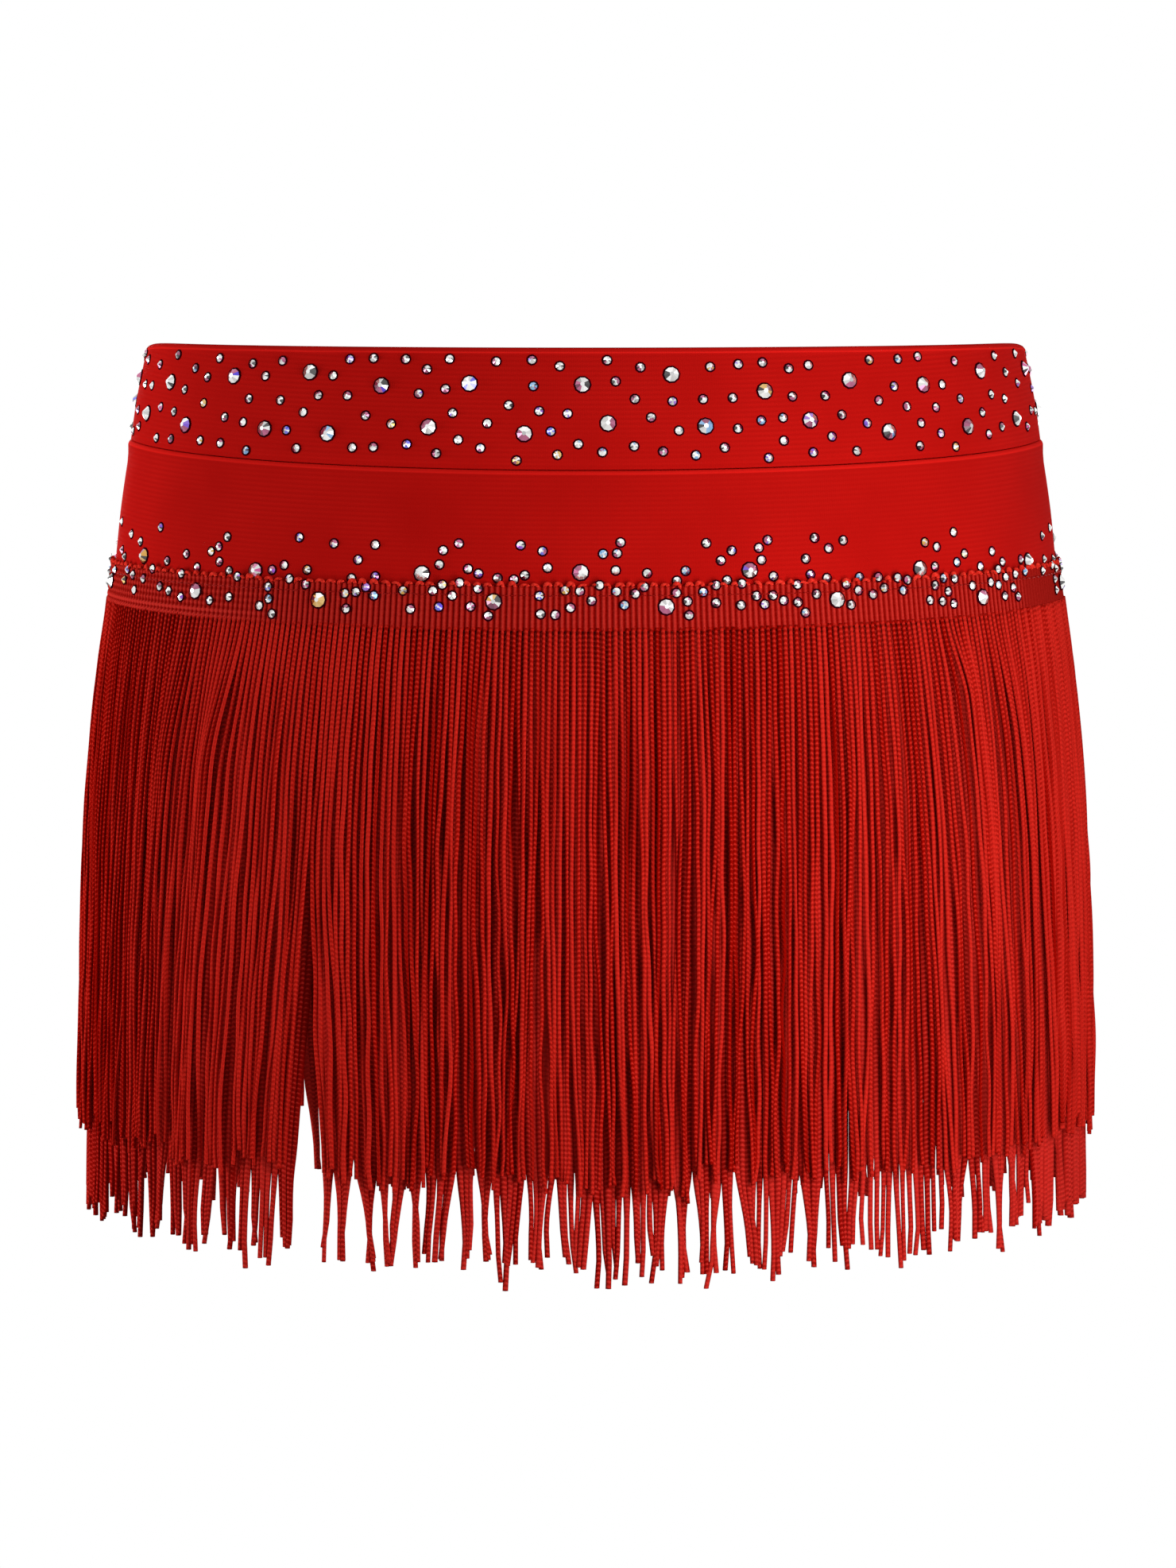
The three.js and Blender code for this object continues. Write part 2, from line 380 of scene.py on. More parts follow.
def blank_material(name: str) -> tuple[Finish, Tree, Node]:
    """A new material with only its Principled shader and output.

    Args:
        name: the material's name.

    Returns:
        The material, its node tree and its Principled node.
    """
    material = bpy.data.materials.new(name)
    material.use_nodes = True
    tree = material.node_tree
    tree.nodes.clear()
    shader = add_node(tree, "BsdfPrincipled")
    add_node(tree, "OutputMaterial", shader)
    return material, tree, shader


def waves(tree: Tree, along: Any, pitch_mm: float) -> Node:
    """A sine wave from -1 to 1 over a length in metres, one wave for each pitch."""
    turns = add_node(tree, "Math", along, 2 * math.pi / (pitch_mm * MM), operation="MULTIPLY")
    return add_node(tree, "Math", turns, operation="SINE")


class Pattern(NamedTuple):
    """A yarn's shade, from 0, dark, to 1, light, and its relief with the relief's depth."""

    shade: Node
    relief: Node | None = None
    depth_mm: float = 0.0


@dataclass(frozen=True)
class DyedYarn:
    """Dyed yarn, which every cloth and thread here is made of: its gleam keeps the dye's hue."""

    name: str
    light: str
    dark: str
    roughness: float = 0.5
    specular: float = 0.0
    sheen: float = 0.0
    sheen_roughness: float = 0.4

    def pattern(self, tree: Tree) -> Pattern:
        """Draws the pattern, which is each yarn's own."""
        raise NotImplementedError

    def build(self) -> Finish:
        """Makes the material, or finds it where another piece has made it.

        Returns:
            The material, coloured from dark to light by its pattern.
        """
        if self.name in bpy.data.materials:
            return bpy.data.materials[self.name]
        material, tree, shader = blank_material(self.name)
        pattern = self.pattern(tree)
        mix = add_node(
            tree,
            "Mix",
            pattern.shade,
            inputs={6: linear(self.dark), 7: linear(self.light)},
            data_type="RGBA",
            clamp_factor=True,
        )
        tree.links.new(mix.outputs[2], shader.inputs["Base Color"])
        if pattern.relief is not None:
            height = {"Height": pattern.relief, "Distance": pattern.depth_mm * MM, "Strength": 1.0}
            bump = add_node(tree, "Bump", inputs=height)
            tree.links.new(bump.outputs["Normal"], shader.inputs["Normal"])
        gloss = {
            "Roughness": self.roughness,
            "Specular IOR Level": self.specular,
            "Specular Tint": linear(self.light),
            "Sheen Weight": self.sheen,
            "Sheen Roughness": self.sheen_roughness,
            "Sheen Tint": linear(self.light),
        }
        for name, value in gloss.items():
            shader.inputs[name].default_value = value
        return material


@dataclass(frozen=True)
class RibKnit(DyedYarn):
    """Stretch rib knit of nylon and elastane: matt, with fine level ribs and no white gleam.

    The real ribs are 1.1 mm apart. They are drawn 1.6 mm apart, or they would not show.
    """

    roughness: float = 0.85
    specular: float = 0.02
    sheen: float = 0.05
    rib_pitch_mm: float = 1.6
    rib_depth_mm: float = 0.05
    rib_painted_shade: float = 0.05
    wale_pitch_mm: float = 0.8
    wale_relief: float = 0.18
    mottle_mm: float = 34.0
    mottle_detail: float = 3.0
    mottle_shade: float = 0.3
    mottle_span: tuple[float, float] = (0.35, 0.65)
    least_rib: float = 0.25
    least_shade: float = 0.15
    painted_ridge_highlight: float = 0.6

    def pattern(self, tree: Tree) -> Pattern:
        """Draws ribs and wales over the cloth's own UV map, which is in metres.

        Args:
            tree: the material's node tree.

        Returns:
            The pattern: its ribs fade in patches, and ridges and edges whose tone is 1 get a
                painted highlight.
        """
        uv = add_node(tree, "UVMap", uv_map="cloth")
        axes = add_node(tree, "SeparateXYZ", uv)
        ribs = waves(tree, axes.outputs["Y"], self.rib_pitch_mm)
        wales = waves(tree, axes.outputs["X"], self.wale_pitch_mm)
        scale = 1 / (self.mottle_mm * MM)
        size = {"Vector": uv, "Scale": scale, "Detail": self.mottle_detail}
        mottle = add_node(tree, "TexNoise", inputs=size)
        low, high = self.mottle_span
        fade = {"Value": mottle, "From Min": low, "From Max": high, "To Min": self.least_rib}
        patches = add_node(tree, "MapRange", inputs=fade)
        faded = add_node(tree, "Math", ribs, patches, operation="MULTIPLY")
        relief = add_node(tree, "Math", wales, self.wale_relief, faded, operation="MULTIPLY_ADD")
        # painted highlight: the tone marks the cloth's ridges and rolled edges, which are drawn
        # lighter as if they caught the light
        highlight_tone = add_node(tree, "Attribute", attribute_name="tone").outputs["Fac"]
        shade: Node | float = self.least_shade
        # mottle is the knit's own patchy tone; the ridge tone adds a painted highlight, and the rib
        # relief adds painted shade and highlight along the ribs
        for part, strength in (
            (mottle, self.mottle_shade),
            (highlight_tone, self.painted_ridge_highlight),
            (relief, self.rib_painted_shade),
        ):
            shade = add_node(tree, "Math", part, strength, shade, operation="MULTIPLY_ADD")
        return Pattern(shade, relief, self.rib_depth_mm)


@dataclass(frozen=True)
class WovenTape(DyedYarn):
    """Woven nylon header tape: duller and browner than the strands that it holds."""

    light: str = "#D6322A"
    dark: str = "#880300"
    roughness: float = 0.6
    sheen: float = 0.1
    painted_dip_shade: float = 2.2
    fibre_mm: float = 0.7
    fibre_detail: float = 2.0
    fibre_shade: float = 0.4
    fibre_depth_mm: float = 0.15

    def pattern(self, tree: Tree) -> Pattern:
        """Draws fibres on the tape's ribs, which are geometry and also give the tone, as painted
        shade.

        Args:
            tree: the material's node tree.

        Returns:
            The pattern, with painted shade in the dips between the ribs and a painted highlight on
            their crests.
        """
        uv = add_node(tree, "UVMap", uv_map="cloth")
        scale = 1 / (self.fibre_mm * MM)
        size = {"Vector": uv, "Scale": scale, "Detail": self.fibre_detail}
        fibres = add_node(tree, "TexNoise", inputs=size)
        ribs = add_node(tree, "Attribute", attribute_name="tone").outputs["Fac"]
        # painted shade: the colour darkens in the dips between the ribs, where shade falls
        raised = add_node(tree, "Math", ribs, self.painted_dip_shade, operation="POWER")
        strength = self.fibre_shade
        thread = add_node(tree, "Math", fibres, strength, -strength / 2, operation="MULTIPLY_ADD")
        shade = add_node(tree, "Math", raised, thread, operation="ADD")
        return Pattern(shade, fibres, self.fibre_depth_mm)


@dataclass(frozen=True)
class Chainette(DyedYarn):
    """Viscose chainette: a knitted cord, with a painted highlight on each stitch of its chain."""

    light: str = "#DB2A20"
    dark: str = "#9A0802"
    sheen: float = 0.25
    stitch_mm: float = 1.6
    stitch_slant: float = 0.4
    stitch_depth_mm: float = 0.15
    painted_light: float = 1.2
    highlight_sharpness: float = 1.6
    painted_shade_offset: float = -0.32

    def pattern(self, tree: Tree) -> Pattern:
        """Draws a chain over each strand's UV map: round it in turns, along it in metres.

        Args:
            tree: the material's node tree.

        Returns:
            The pattern: a painted highlight on each stitch, in the middle of the strand's face,
                over its own tone; the strand's sides keep painted shade.
        """
        uv = add_node(tree, "UVMap", uv_map="strand")
        axes = add_node(tree, "SeparateXYZ", uv)
        quarters = add_node(tree, "Math", axes, 4.0, operation="MULTIPLY")
        across = add_node(tree, "Math", quarters, 1.0, operation="PINGPONG")
        slant = self.stitch_slant * self.stitch_mm * MM
        along = axes.outputs["Y"]
        chevron = add_node(tree, "Math", across, slant, along, operation="MULTIPLY_ADD")
        wave = waves(tree, chevron, self.stitch_mm)
        stitch = add_node(tree, "Math", wave, 0.5, 0.5, operation="MULTIPLY_ADD")
        sharp = add_node(tree, "Math", stitch, self.highlight_sharpness, operation="POWER")
        # painted highlight down the strand's middle, and painted shade on its sides
        painted_highlight = add_node(tree, "Math", across, sharp, operation="MULTIPLY")
        tone = add_node(tree, "Attribute", attribute_name="tone").outputs["Fac"]
        base = add_node(tree, "Math", tone, self.painted_shade_offset, operation="ADD")
        shade = add_node(tree, "Math", painted_highlight, self.painted_light, base, operation="MULTIPLY_ADD")
        return Pattern(shade, stitch, self.stitch_depth_mm)


@dataclass(frozen=True)
class SpunThread(DyedYarn):
    """Spun polyester sewing thread, dyed to match the cloth: a fine twist with a dull gleam."""

    light: str = "#B81712"
    dark: str = "#6E0A08"
    roughness: float = 0.55
    specular: float = 0.3
    twist_mm: float = 0.8
    ply_shade: float = 0.35
    mean_shade: float = 0.6

    def pattern(self, tree: Tree) -> Pattern:
        """Draws slanted plies over object coordinates.

        Args:
            tree: the material's node tree.

        Returns:
            The pattern, which has no relief.
        """
        axes = add_node(tree, "SeparateXYZ", add_node(tree, "TexCoord").outputs["Object"])
        slant = add_node(tree, "Math", axes, axes.outputs["Z"], operation="ADD")
        plies = waves(tree, slant, self.twist_mm)
        strength = self.ply_shade, self.mean_shade
        return Pattern(add_node(tree, "Math", plies, *strength, operation="MULTIPLY_ADD"))


@dataclass(frozen=True)
class FoiledGlass:
    """Foil-backed cut glass with an iridescent coat, in a dark rim of painted shadow.

    A stone's facets carry painted reflections of its surroundings: silver, with a dark wedge,
    perhaps a red cast where it would mirror the cloth, some facets in painted shade, and perhaps a
    few facets in one tint.
    """

    name: str
    roughness: float = 0.12
    metallic: float = 0.7
    coat: float = 0.6
    specular: float = 0.5
    coat_roughness: float = 0.03
    silver_reflection: tuple[float, float] = (0.5, 1.0)
    reflection_blue: float = 0.98
    wedge_chance: float = 0.7
    wedge_spread: float = 0.45
    wedge_width: tuple[float, float] = (0.3, 0.65)
    wedge_reflection: tuple[float, float] = (0.02, 0.1)
    dim_from: float = 2.2
    dim_chance: float = 0.35
    painted_dimming: float = 0.5
    red_reflection_chance: float = 0.65
    red_reflection_width: tuple[float, float] = (0.8, 1.5)
    red_reflection: tuple[float, float, float] = (0.5, 0.12, 0.25)
    tint_chance: float = 0.4
    tint_shares: tuple[float, ...] = (0.15, 0.3, 0.5)
    tint_strength: float = 0.85
    tints: tuple[str, ...] = ("#3536D6", "#8A3FC4", "#C8468E", "#D2A22E", "#7A4BD0", "#6AA7D8")
    table_from: float = 0.95
    table_reflection: tuple[float, float] = (0.4, 1.0)
    crown_from: float = 0.1
    rim_shadow: str = "#30000C"

    def build(self) -> Finish:
        """Makes the material.

        Returns:
            The material: each facet has its own colour, and its alpha is its polish.
        """
        material, tree, shader = blank_material(self.name)
        facet = add_node(tree, "Attribute", attribute_name="facet")
        tree.links.new(facet.outputs["Color"], shader.inputs["Base Color"])
        polish = facet.outputs["Alpha"]
        for name, full in (
            ("Metallic", self.metallic),
            ("Coat Weight", self.coat),
            ("Specular IOR Level", self.specular),
        ):
            polished = add_node(tree, "Math", polish, full, operation="MULTIPLY")
            tree.links.new(polished.outputs[0], shader.inputs[name])
        shader.inputs["Roughness"].default_value = self.roughness
        shader.inputs["Coat Roughness"].default_value = self.coat_roughness
        return material

    def facet_colours(self, draw: Chance, facing: Array, flat: Array) -> Array:
        """The painted reflections on one stone's facets.

        Args:
            draw: the source of chance.
            facing: which way each facet faces round the stone, from the skirt's middle.
            flat: how far each facet faces out of the cloth, 1 on the table.

        Returns:
            One linear colour for each facet, whose alpha is how polished it is.
        """
        count = len(facing)
        grey = draw.uniform(*self.silver_reflection, count)
        colours = np.stack([grey, grey, grey * self.reflection_blue, np.ones(count)], axis=1)
        turn = 2 * math.pi
        from_wedge = np.abs(
            (facing - draw.normal(0, self.wedge_spread) + math.pi) % turn - math.pi
        )
        if draw.random() < self.wedge_chance:
            dark = draw.uniform(*self.wedge_reflection)
            # painted reflection: a dark wedge of facets, with painted shade on some facets across
            # from it
            colours[from_wedge < draw.uniform(*self.wedge_width), :3] = dark
            dimmed = (from_wedge > self.dim_from) & (draw.random(count) < self.dim_chance)
            colours[dimmed, :3] *= self.painted_dimming
        if draw.random() < self.red_reflection_chance:
            from_red_reflection = np.abs((facing - draw.uniform(-math.pi, math.pi)) % turn - math.pi)
            # painted reflection of the red cloth over part of the facets
            colours[from_red_reflection < draw.uniform(*self.red_reflection_width), :3] *= self.red_reflection
        if draw.random() < self.tint_chance:
            tinted = draw.random(count) < draw.choice(self.tint_shares)
            tint = np.array(linear(str(draw.choice(self.tints))))
            colours[tinted] += (tint - colours[tinted]) * self.tint_strength
        # painted reflection on the table
        colours[flat > self.table_from, :3] = draw.uniform(*self.table_reflection)
        # painted shadow: the girdle's sides take the dark rim colour and no polish
        colours[flat < self.crown_from] = (*linear(self.rim_shadow)[:3], 0)
        return colours


def put_in_scene(mesh: Mesh, material: Finish) -> Piece:
    """A new object of a mesh.

    Args:
        mesh: its mesh, already in its place.
        material: its one finish.

    Returns:
        The object, which has the mesh's name.
    """
    mesh.materials.append(material)
    obj = bpy.data.objects.new(mesh.name, mesh)
    bpy.context.scene.collection.objects.link(obj)
    return obj


def hold(piece: Piece, slot: str, *nodes: str) -> Piece:
    """Makes a piece part of the skirt's one body.

    Args:
        piece: the piece.
        slot: not used.
        nodes: the CAD nodes that it stands for.

    Returns:
        The piece.
    """
    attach(piece, "root")
    if nodes:
        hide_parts(*nodes)
    return piece


def report(piece: Piece) -> None:
    """Logs a piece's name and its number of triangles."""
    triangles = sum(len(face.vertices) - 2 for face in piece.data.polygons)
    LOG.info("%s: %d triangles", piece.name, triangles)


class Profile(NamedTuple):
    """A wall's closed section at each of its slices: heights, offsets in mm, and a tone, which the
    materials turn into painted highlight or painted shade.
    """

    z: Array
    offset: Array
    tone: Array


@dataclass(frozen=True)
class Shell:
    """A closed wall of cloth in one half: a section carried round the form."""

    half: Half
    columns: int
    first: float = 0.0
    last: float | None = None
    merged: float = 1e-7

    def lengths(self) -> Array:
        """Lengths along the half of the wall's columns, in mm, as a column."""
        last = FORM.total(self.half) if self.last is None else self.last
        return np.linspace(self.first, last, self.columns + 1)[:, None]

    def build(self, name: str, material: Finish, section: Callable[[Array], Profile]) -> Piece:
        """Makes the wall.

        Args:
            name: the piece's name.
            material: its finish.
            section: gives the closed section at turns, which are a column: up the outside,
                over the top, and down the inside.

        Returns:
            The finished object.
        """
        lengths = self.lengths()
        turns = FORM.turn_at(self.half, lengths)
        z, offset, tone = section(turns)
        points = FORM.point(self.half, turns, z, offset)
        rows = z.shape[1]
        seam = FORM.line("band_seam", turns)

        shell = bmesh.new()
        bmesh.ops.create_grid(shell, x_segments=self.columns, y_segments=rows, size=0.5)
        across = shell.verts.layers.float.new("across")
        down = shell.verts.layers.float.new("down")
        toned = shell.verts.layers.float.new("tone")
        for vertex in shell.verts:
            column = round((vertex.co.x + 0.5) * self.columns)
            row = round((vertex.co.y + 0.5) * rows) % rows
            vertex.co = points[column, row]
            vertex[across] = lengths[column, 0] * MM
            vertex[down] = (z[column, row] - seam[column, 0]) * MM
            vertex[toned] = tone[column, row]
        bmesh.ops.remove_doubles(shell, verts=shell.verts, dist=self.merged)
        rims = [edge for edge in shell.edges if edge.is_boundary]
        bmesh.ops.holes_fill(shell, edges=rims, sides=0)
        bmesh.ops.recalc_face_normals(shell, faces=shell.faces)
        uv = shell.loops.layers.uv.new("cloth")
        for face in shell.faces:
            face.smooth = True
            for loop in face.loops:
                loop[uv].uv = (loop.vert[across], loop.vert[down])
        mesh = bpy.data.meshes.new(name)
        shell.to_mesh(mesh)
        shell.free()
        return put_in_scene(mesh, material)


@dataclass
class ClothPieces:
    """Waistband and hip yoke, each cut in a front and a back half."""

    columns: int = 160
    stretch: float = 1.08
    band_wall: float = 2.4
    band_rows: int = 12
    band_crown: float = 0.2
    band_cut_m: float = 0.039
    facing: float = 1.6
    facing_gap: float = 1.0
    facing_height: float = 0.3
    ledge_rises: tuple[float, ...] = (-0.5, -0.1, 0.25)
    ledge_heights: tuple[float, ...] = (0.12, 1.0, 0.9)
    # painted highlight along the facing's ledge and the rolled top edge
    ledge_highlights: tuple[float, ...] = (0.0, 1.0, 0.5)
    roll_height: float = 1.1
    roll_steps: int = 6
    roll_highlight: float = 0.3
    corner_dip: float = 1.4
    corner_width: float = 0.18
    yoke_wall: float = 1.4
    yoke_rows: int = 14
    yoke_cut_m: float = 0.051
    lip: float = 0.7
    lip_height: float = 1.5
    lip_angles: tuple[float, ...] = (12.0, 40.0, 78.0)
    # painted highlight on the yoke's folded lip
    lip_highlights: tuple[float, ...] = (0.9, 1.0, 1.0, 1.0)
    lip_rise: tuple[float, float] = (0.9, 1.0)
    rows_to_top: float = 0.8
    tape_below_yoke: float = 4.0
    band_knit: RibKnit = RibKnit("band_rib_knit", light="#F7221C", dark="#AC0A08")
    yoke_knit: RibKnit = RibKnit("yoke_rib_knit", light="#F5201A", dark="#A80A08")

    def band_section(self, turn: Array) -> Profile:
        """The band's section: two flat faces, a narrow facing and a rolled top edge, whose ledge
        and roll carry a painted highlight in their tone.

        Args:
            turn: turns from the front middle, as a column.

        Returns:
            The closed section.
        """
        bottom = FORM.line("band_seam", turn) + FORM.seam_gap / 2
        puckered = self.corner_dip * np.exp(-((np.cos(turn) / self.corner_width) ** 2))
        top = FORM.line("top_edge", turn) - puckered
        share = np.linspace(0, 1, self.band_rows)[None, :]
        face = bottom + (top - self.facing - self.facing_gap - bottom) * share
        ledge = top - self.facing + np.array([self.ledge_rises])
        angles = np.linspace(0, math.pi, self.roll_steps + 2)[1:-1][None, :]
        roll = top - self.roll_height * (1 - np.sin(angles))
        flat = 0 * turn
        crowned = self.band_crown * np.sin(math.pi * share) + flat
        ridge = np.array([self.ledge_heights]) * self.facing_height + flat
        rolled = -self.band_wall / 2 * (1 - np.cos(angles)) + flat
        inside = -self.band_wall + flat * share
        ledge_highlight = np.array([self.ledge_highlights]) + flat
        return Profile(
            np.hstack([face, ledge, roll, face[:, ::-1]]),
            np.hstack([crowned, ridge, rolled, inside]),
            np.hstack([0 * face, ledge_highlight, self.roll_highlight + 0 * roll, 0 * face]),
        )

    def yoke_section(self, turn: Array) -> Profile:
        """The yoke's section: one layer, its top edge folded over the band's seam, with a painted
        highlight on the folded lip.

        Args:
            turn: turns from the front middle, as a column.

        Returns:
            The closed section.
        """
        bottom = FORM.line("tape_bottom", turn) + self.tape_below_yoke
        top = FORM.line("band_seam", turn) - FORM.seam_gap / 2
        share = np.linspace(0, 1, self.yoke_rows)[None, :] ** self.rows_to_top
        face = bottom + (top - self.lip_height - bottom) * share
        angles = np.radians([self.lip_angles])
        lip = top - self.lip_height * (1 - np.sin(angles))
        flat = 0 * turn
        outside = self.lip * smoothstep(share, *self.lip_rise) + flat
        folded = self.lip * np.cos(angles) + flat
        crest = -self.yoke_wall / 2 + flat
        inside = -self.yoke_wall + flat * share
        lip_highlight = np.array([self.lip_highlights]) + flat
        return Profile(
            np.hstack([face, lip, top, face[:, ::-1]]),
            np.hstack([outside, folded, crest, inside]),
            np.hstack([0 * face, lip_highlight, 0 * face]),
        )

    def build(self) -> list[Piece]:
        """Returns:
            The four pieces.
        """
        made = []
        for half in Half:
            side = half.value
            shell = Shell(half, self.columns)
            width = FORM.total(half) * MM / self.stretch
            band = shell.build(f"band_cloth_{side}", self.band_knit.build(), self.band_section)
            hold(band, "band_knit", f"waistband_{side}")
            yoke = shell.build(f"yoke_cloth_{side}", self.yoke_knit.build(), self.yoke_section)
            hold(yoke, "yoke_knit", f"yoke_{side}")
            made += [band, yoke]
        return made


@dataclass(frozen=True)
class Prototype:
    """One small shape that is repeated: its points, and its faces as lists of point numbers."""

    points: Array
    faces: list[tuple[int, ...]]

    @staticmethod
    def of(shape: bmesh.types.BMesh) -> Prototype:
        """Reads a bmesh, and frees it.

        Args:
            shape: the small shape.

        Returns:
            Its prototype.
        """
        shape.verts.index_update()
        points = np.array([vertex.co[:] for vertex in shape.verts])
        faces = [tuple(vertex.index for vertex in face.verts) for face in shape.faces]
        shape.free()
        return Prototype(points, faces)

    @staticmethod
    def rod(sides: int, rings: int, turned: Matrix) -> Prototype:
        """A straight rod of unit radius and unit length, closed at both ends.

        Args:
            sides: how many sides it has.
            rings: how many stretches its length is cut into.
            turned: how it is turned from standing upright.

        Returns:
            The rod.
        """
        rod = bmesh.new()
        bmesh.ops.create_cone(rod, cap_ends=True, segments=sides, radius1=1, radius2=1, depth=1)
        uprights = [e for e in rod.edges if abs(e.verts[0].co.z - e.verts[1].co.z) > 0.5]
        bmesh.ops.subdivide_edges(rod, edges=uprights, cuts=rings - 1)
        bmesh.ops.transform(rod, matrix=turned, verts=rod.verts)
        return Prototype.of(rod)

    def corners(self) -> Array:
        """The point number of each face corner, face by face."""
        return np.concatenate([np.array(face) for face in self.faces])

    def normals(self) -> Array:
        """The outward normal of each face.

        Returns:
            Unit vectors, one row for each face.
        """
        a, b, c = np.array([self.points[list(face[:3])] for face in self.faces]).swapaxes(0, 1)
        crossed = np.cross(b - a, c - a)
        return crossed / np.linalg.norm(crossed, axis=1, keepdims=True)

    def array(self, name: str, places: Array, smooth: bool) -> Mesh:
        """Joins many placed copies into one mesh.

        Args:
            name: the mesh's name.
            places: the points of each copy, in metres, as copies by points by three.
            smooth: whether the copies are shaded smooth.

        Returns:
            The joined mesh.
        """
        copies, count = places.shape[:2]
        corners = self.corners()
        sizes = np.array([len(face) for face in self.faces])
        starts = np.concatenate([[0], np.cumsum(sizes)[:-1]])
        shifts = np.arange(copies)[:, None]
        mesh = bpy.data.meshes.new(name)
        mesh.vertices.add(copies * count)
        mesh.vertices.foreach_set("co", places.reshape(-1))
        mesh.loops.add(copies * len(corners))
        mesh.loops.foreach_set("vertex_index", (corners + shifts * count).reshape(-1))
        mesh.polygons.add(copies * len(sizes))
        mesh.polygons.foreach_set("loop_start", (starts + shifts * len(corners)).reshape(-1))
        mesh.update(calc_edges=True)
        mesh.polygons.foreach_set("use_smooth", np.full(copies * len(sizes), smooth))
        mesh.validate()
        return mesh

    def lay_yarn_map(self, mesh: Mesh, around: Array, along: Array) -> None:
        """Gives a joined mesh the UV map that the chainette's stitches follow.

        Args:
            mesh: the joined copies.
            around: each point's place round the yarn, in turns.
            along: each copy's points' places along the yarn, in metres.
        """
        corners = self.corners()
        turns = []
        for face in self.faces:
            places = around[list(face)] % 1.0
            if np.ptp(places) > 0.5:
                places = np.where(places < 0.5, places + 1, places)
            turns.append(places)
        uv = np.zeros((len(along), len(corners), 2))
        uv[:, :, 0] = np.concatenate(turns)
        uv[:, :, 1] = along[:, corners]
        mesh.uv_layers.new(name="strand").data.foreach_set("uv", uv.reshape(-1))

    @staticmethod
    def lay_tone(mesh: Mesh, tone: Array) -> None:
        """Gives a joined mesh its yarn's shade, from 0, dark, to 1, light, at each point, painted
        highlight and painted shade included.
        """
        attribute = mesh.attributes.new("tone", "FLOAT", "POINT")
        attribute.data.foreach_set("value", np.clip(tone, 0, 1).reshape(-1))


@dataclass(frozen=True)
class Seats:
    """Places on the form for small shapes: X along the cloth, Y up it, Z out of it."""

    centre: Array
    along: Array
    up: Array
    out: Array

    @staticmethod
    def on(half: Half, length: Array, z: Array, offset: Array) -> Seats:
        """Finds the places.

        Args:
            half: the half they are on.
            length: their lengths along it, in mm.
            z: their heights, in mm.
            offset: how far they stand off the form, in mm.

        Returns:
            The places, in metres.
        """
        turn = FORM.turn_at(half, length)
        centre = FORM.point(half, turn, z, offset)
        up = FORM.point(half, turn, z + 1, offset) - centre
        along = FORM.point(half, turn + 0.01, z, offset) - centre
        out = np.cross(along, up)
        for vectors in (along, out):
            vectors /= np.linalg.norm(vectors, axis=1, keepdims=True)
        return Seats(centre, along, np.cross(out, along), out)

    def place(self, points: Array, scale: Array, spin: Array) -> Array:
        """Puts a copy of some points at each place.

        Args:
            points: the points, either shared or one set for each place.
            scale: each copy's size in mm for one unit, as places or places by three.
            spin: how far each copy is turned about its Z, in radians.

        Returns:
            The copies' points in metres.
        """
        local = np.broadcast_to(points, (len(self.centre), *points.shape[-2:]))
        sized = local * np.reshape(scale, (len(self.centre), 1, -1)) * MM
        cos, sin = np.cos(spin)[:, None], np.sin(spin)[:, None]
        x = sized[..., 0] * cos - sized[..., 1] * sin
        y = sized[..., 0] * sin + sized[..., 1] * cos
        return (
            self.centre[:, None]
            + x[..., None] * self.along[:, None]
            + y[..., None] * self.up[:, None]
            + sized[..., 2:] * self.out[:, None]
        )


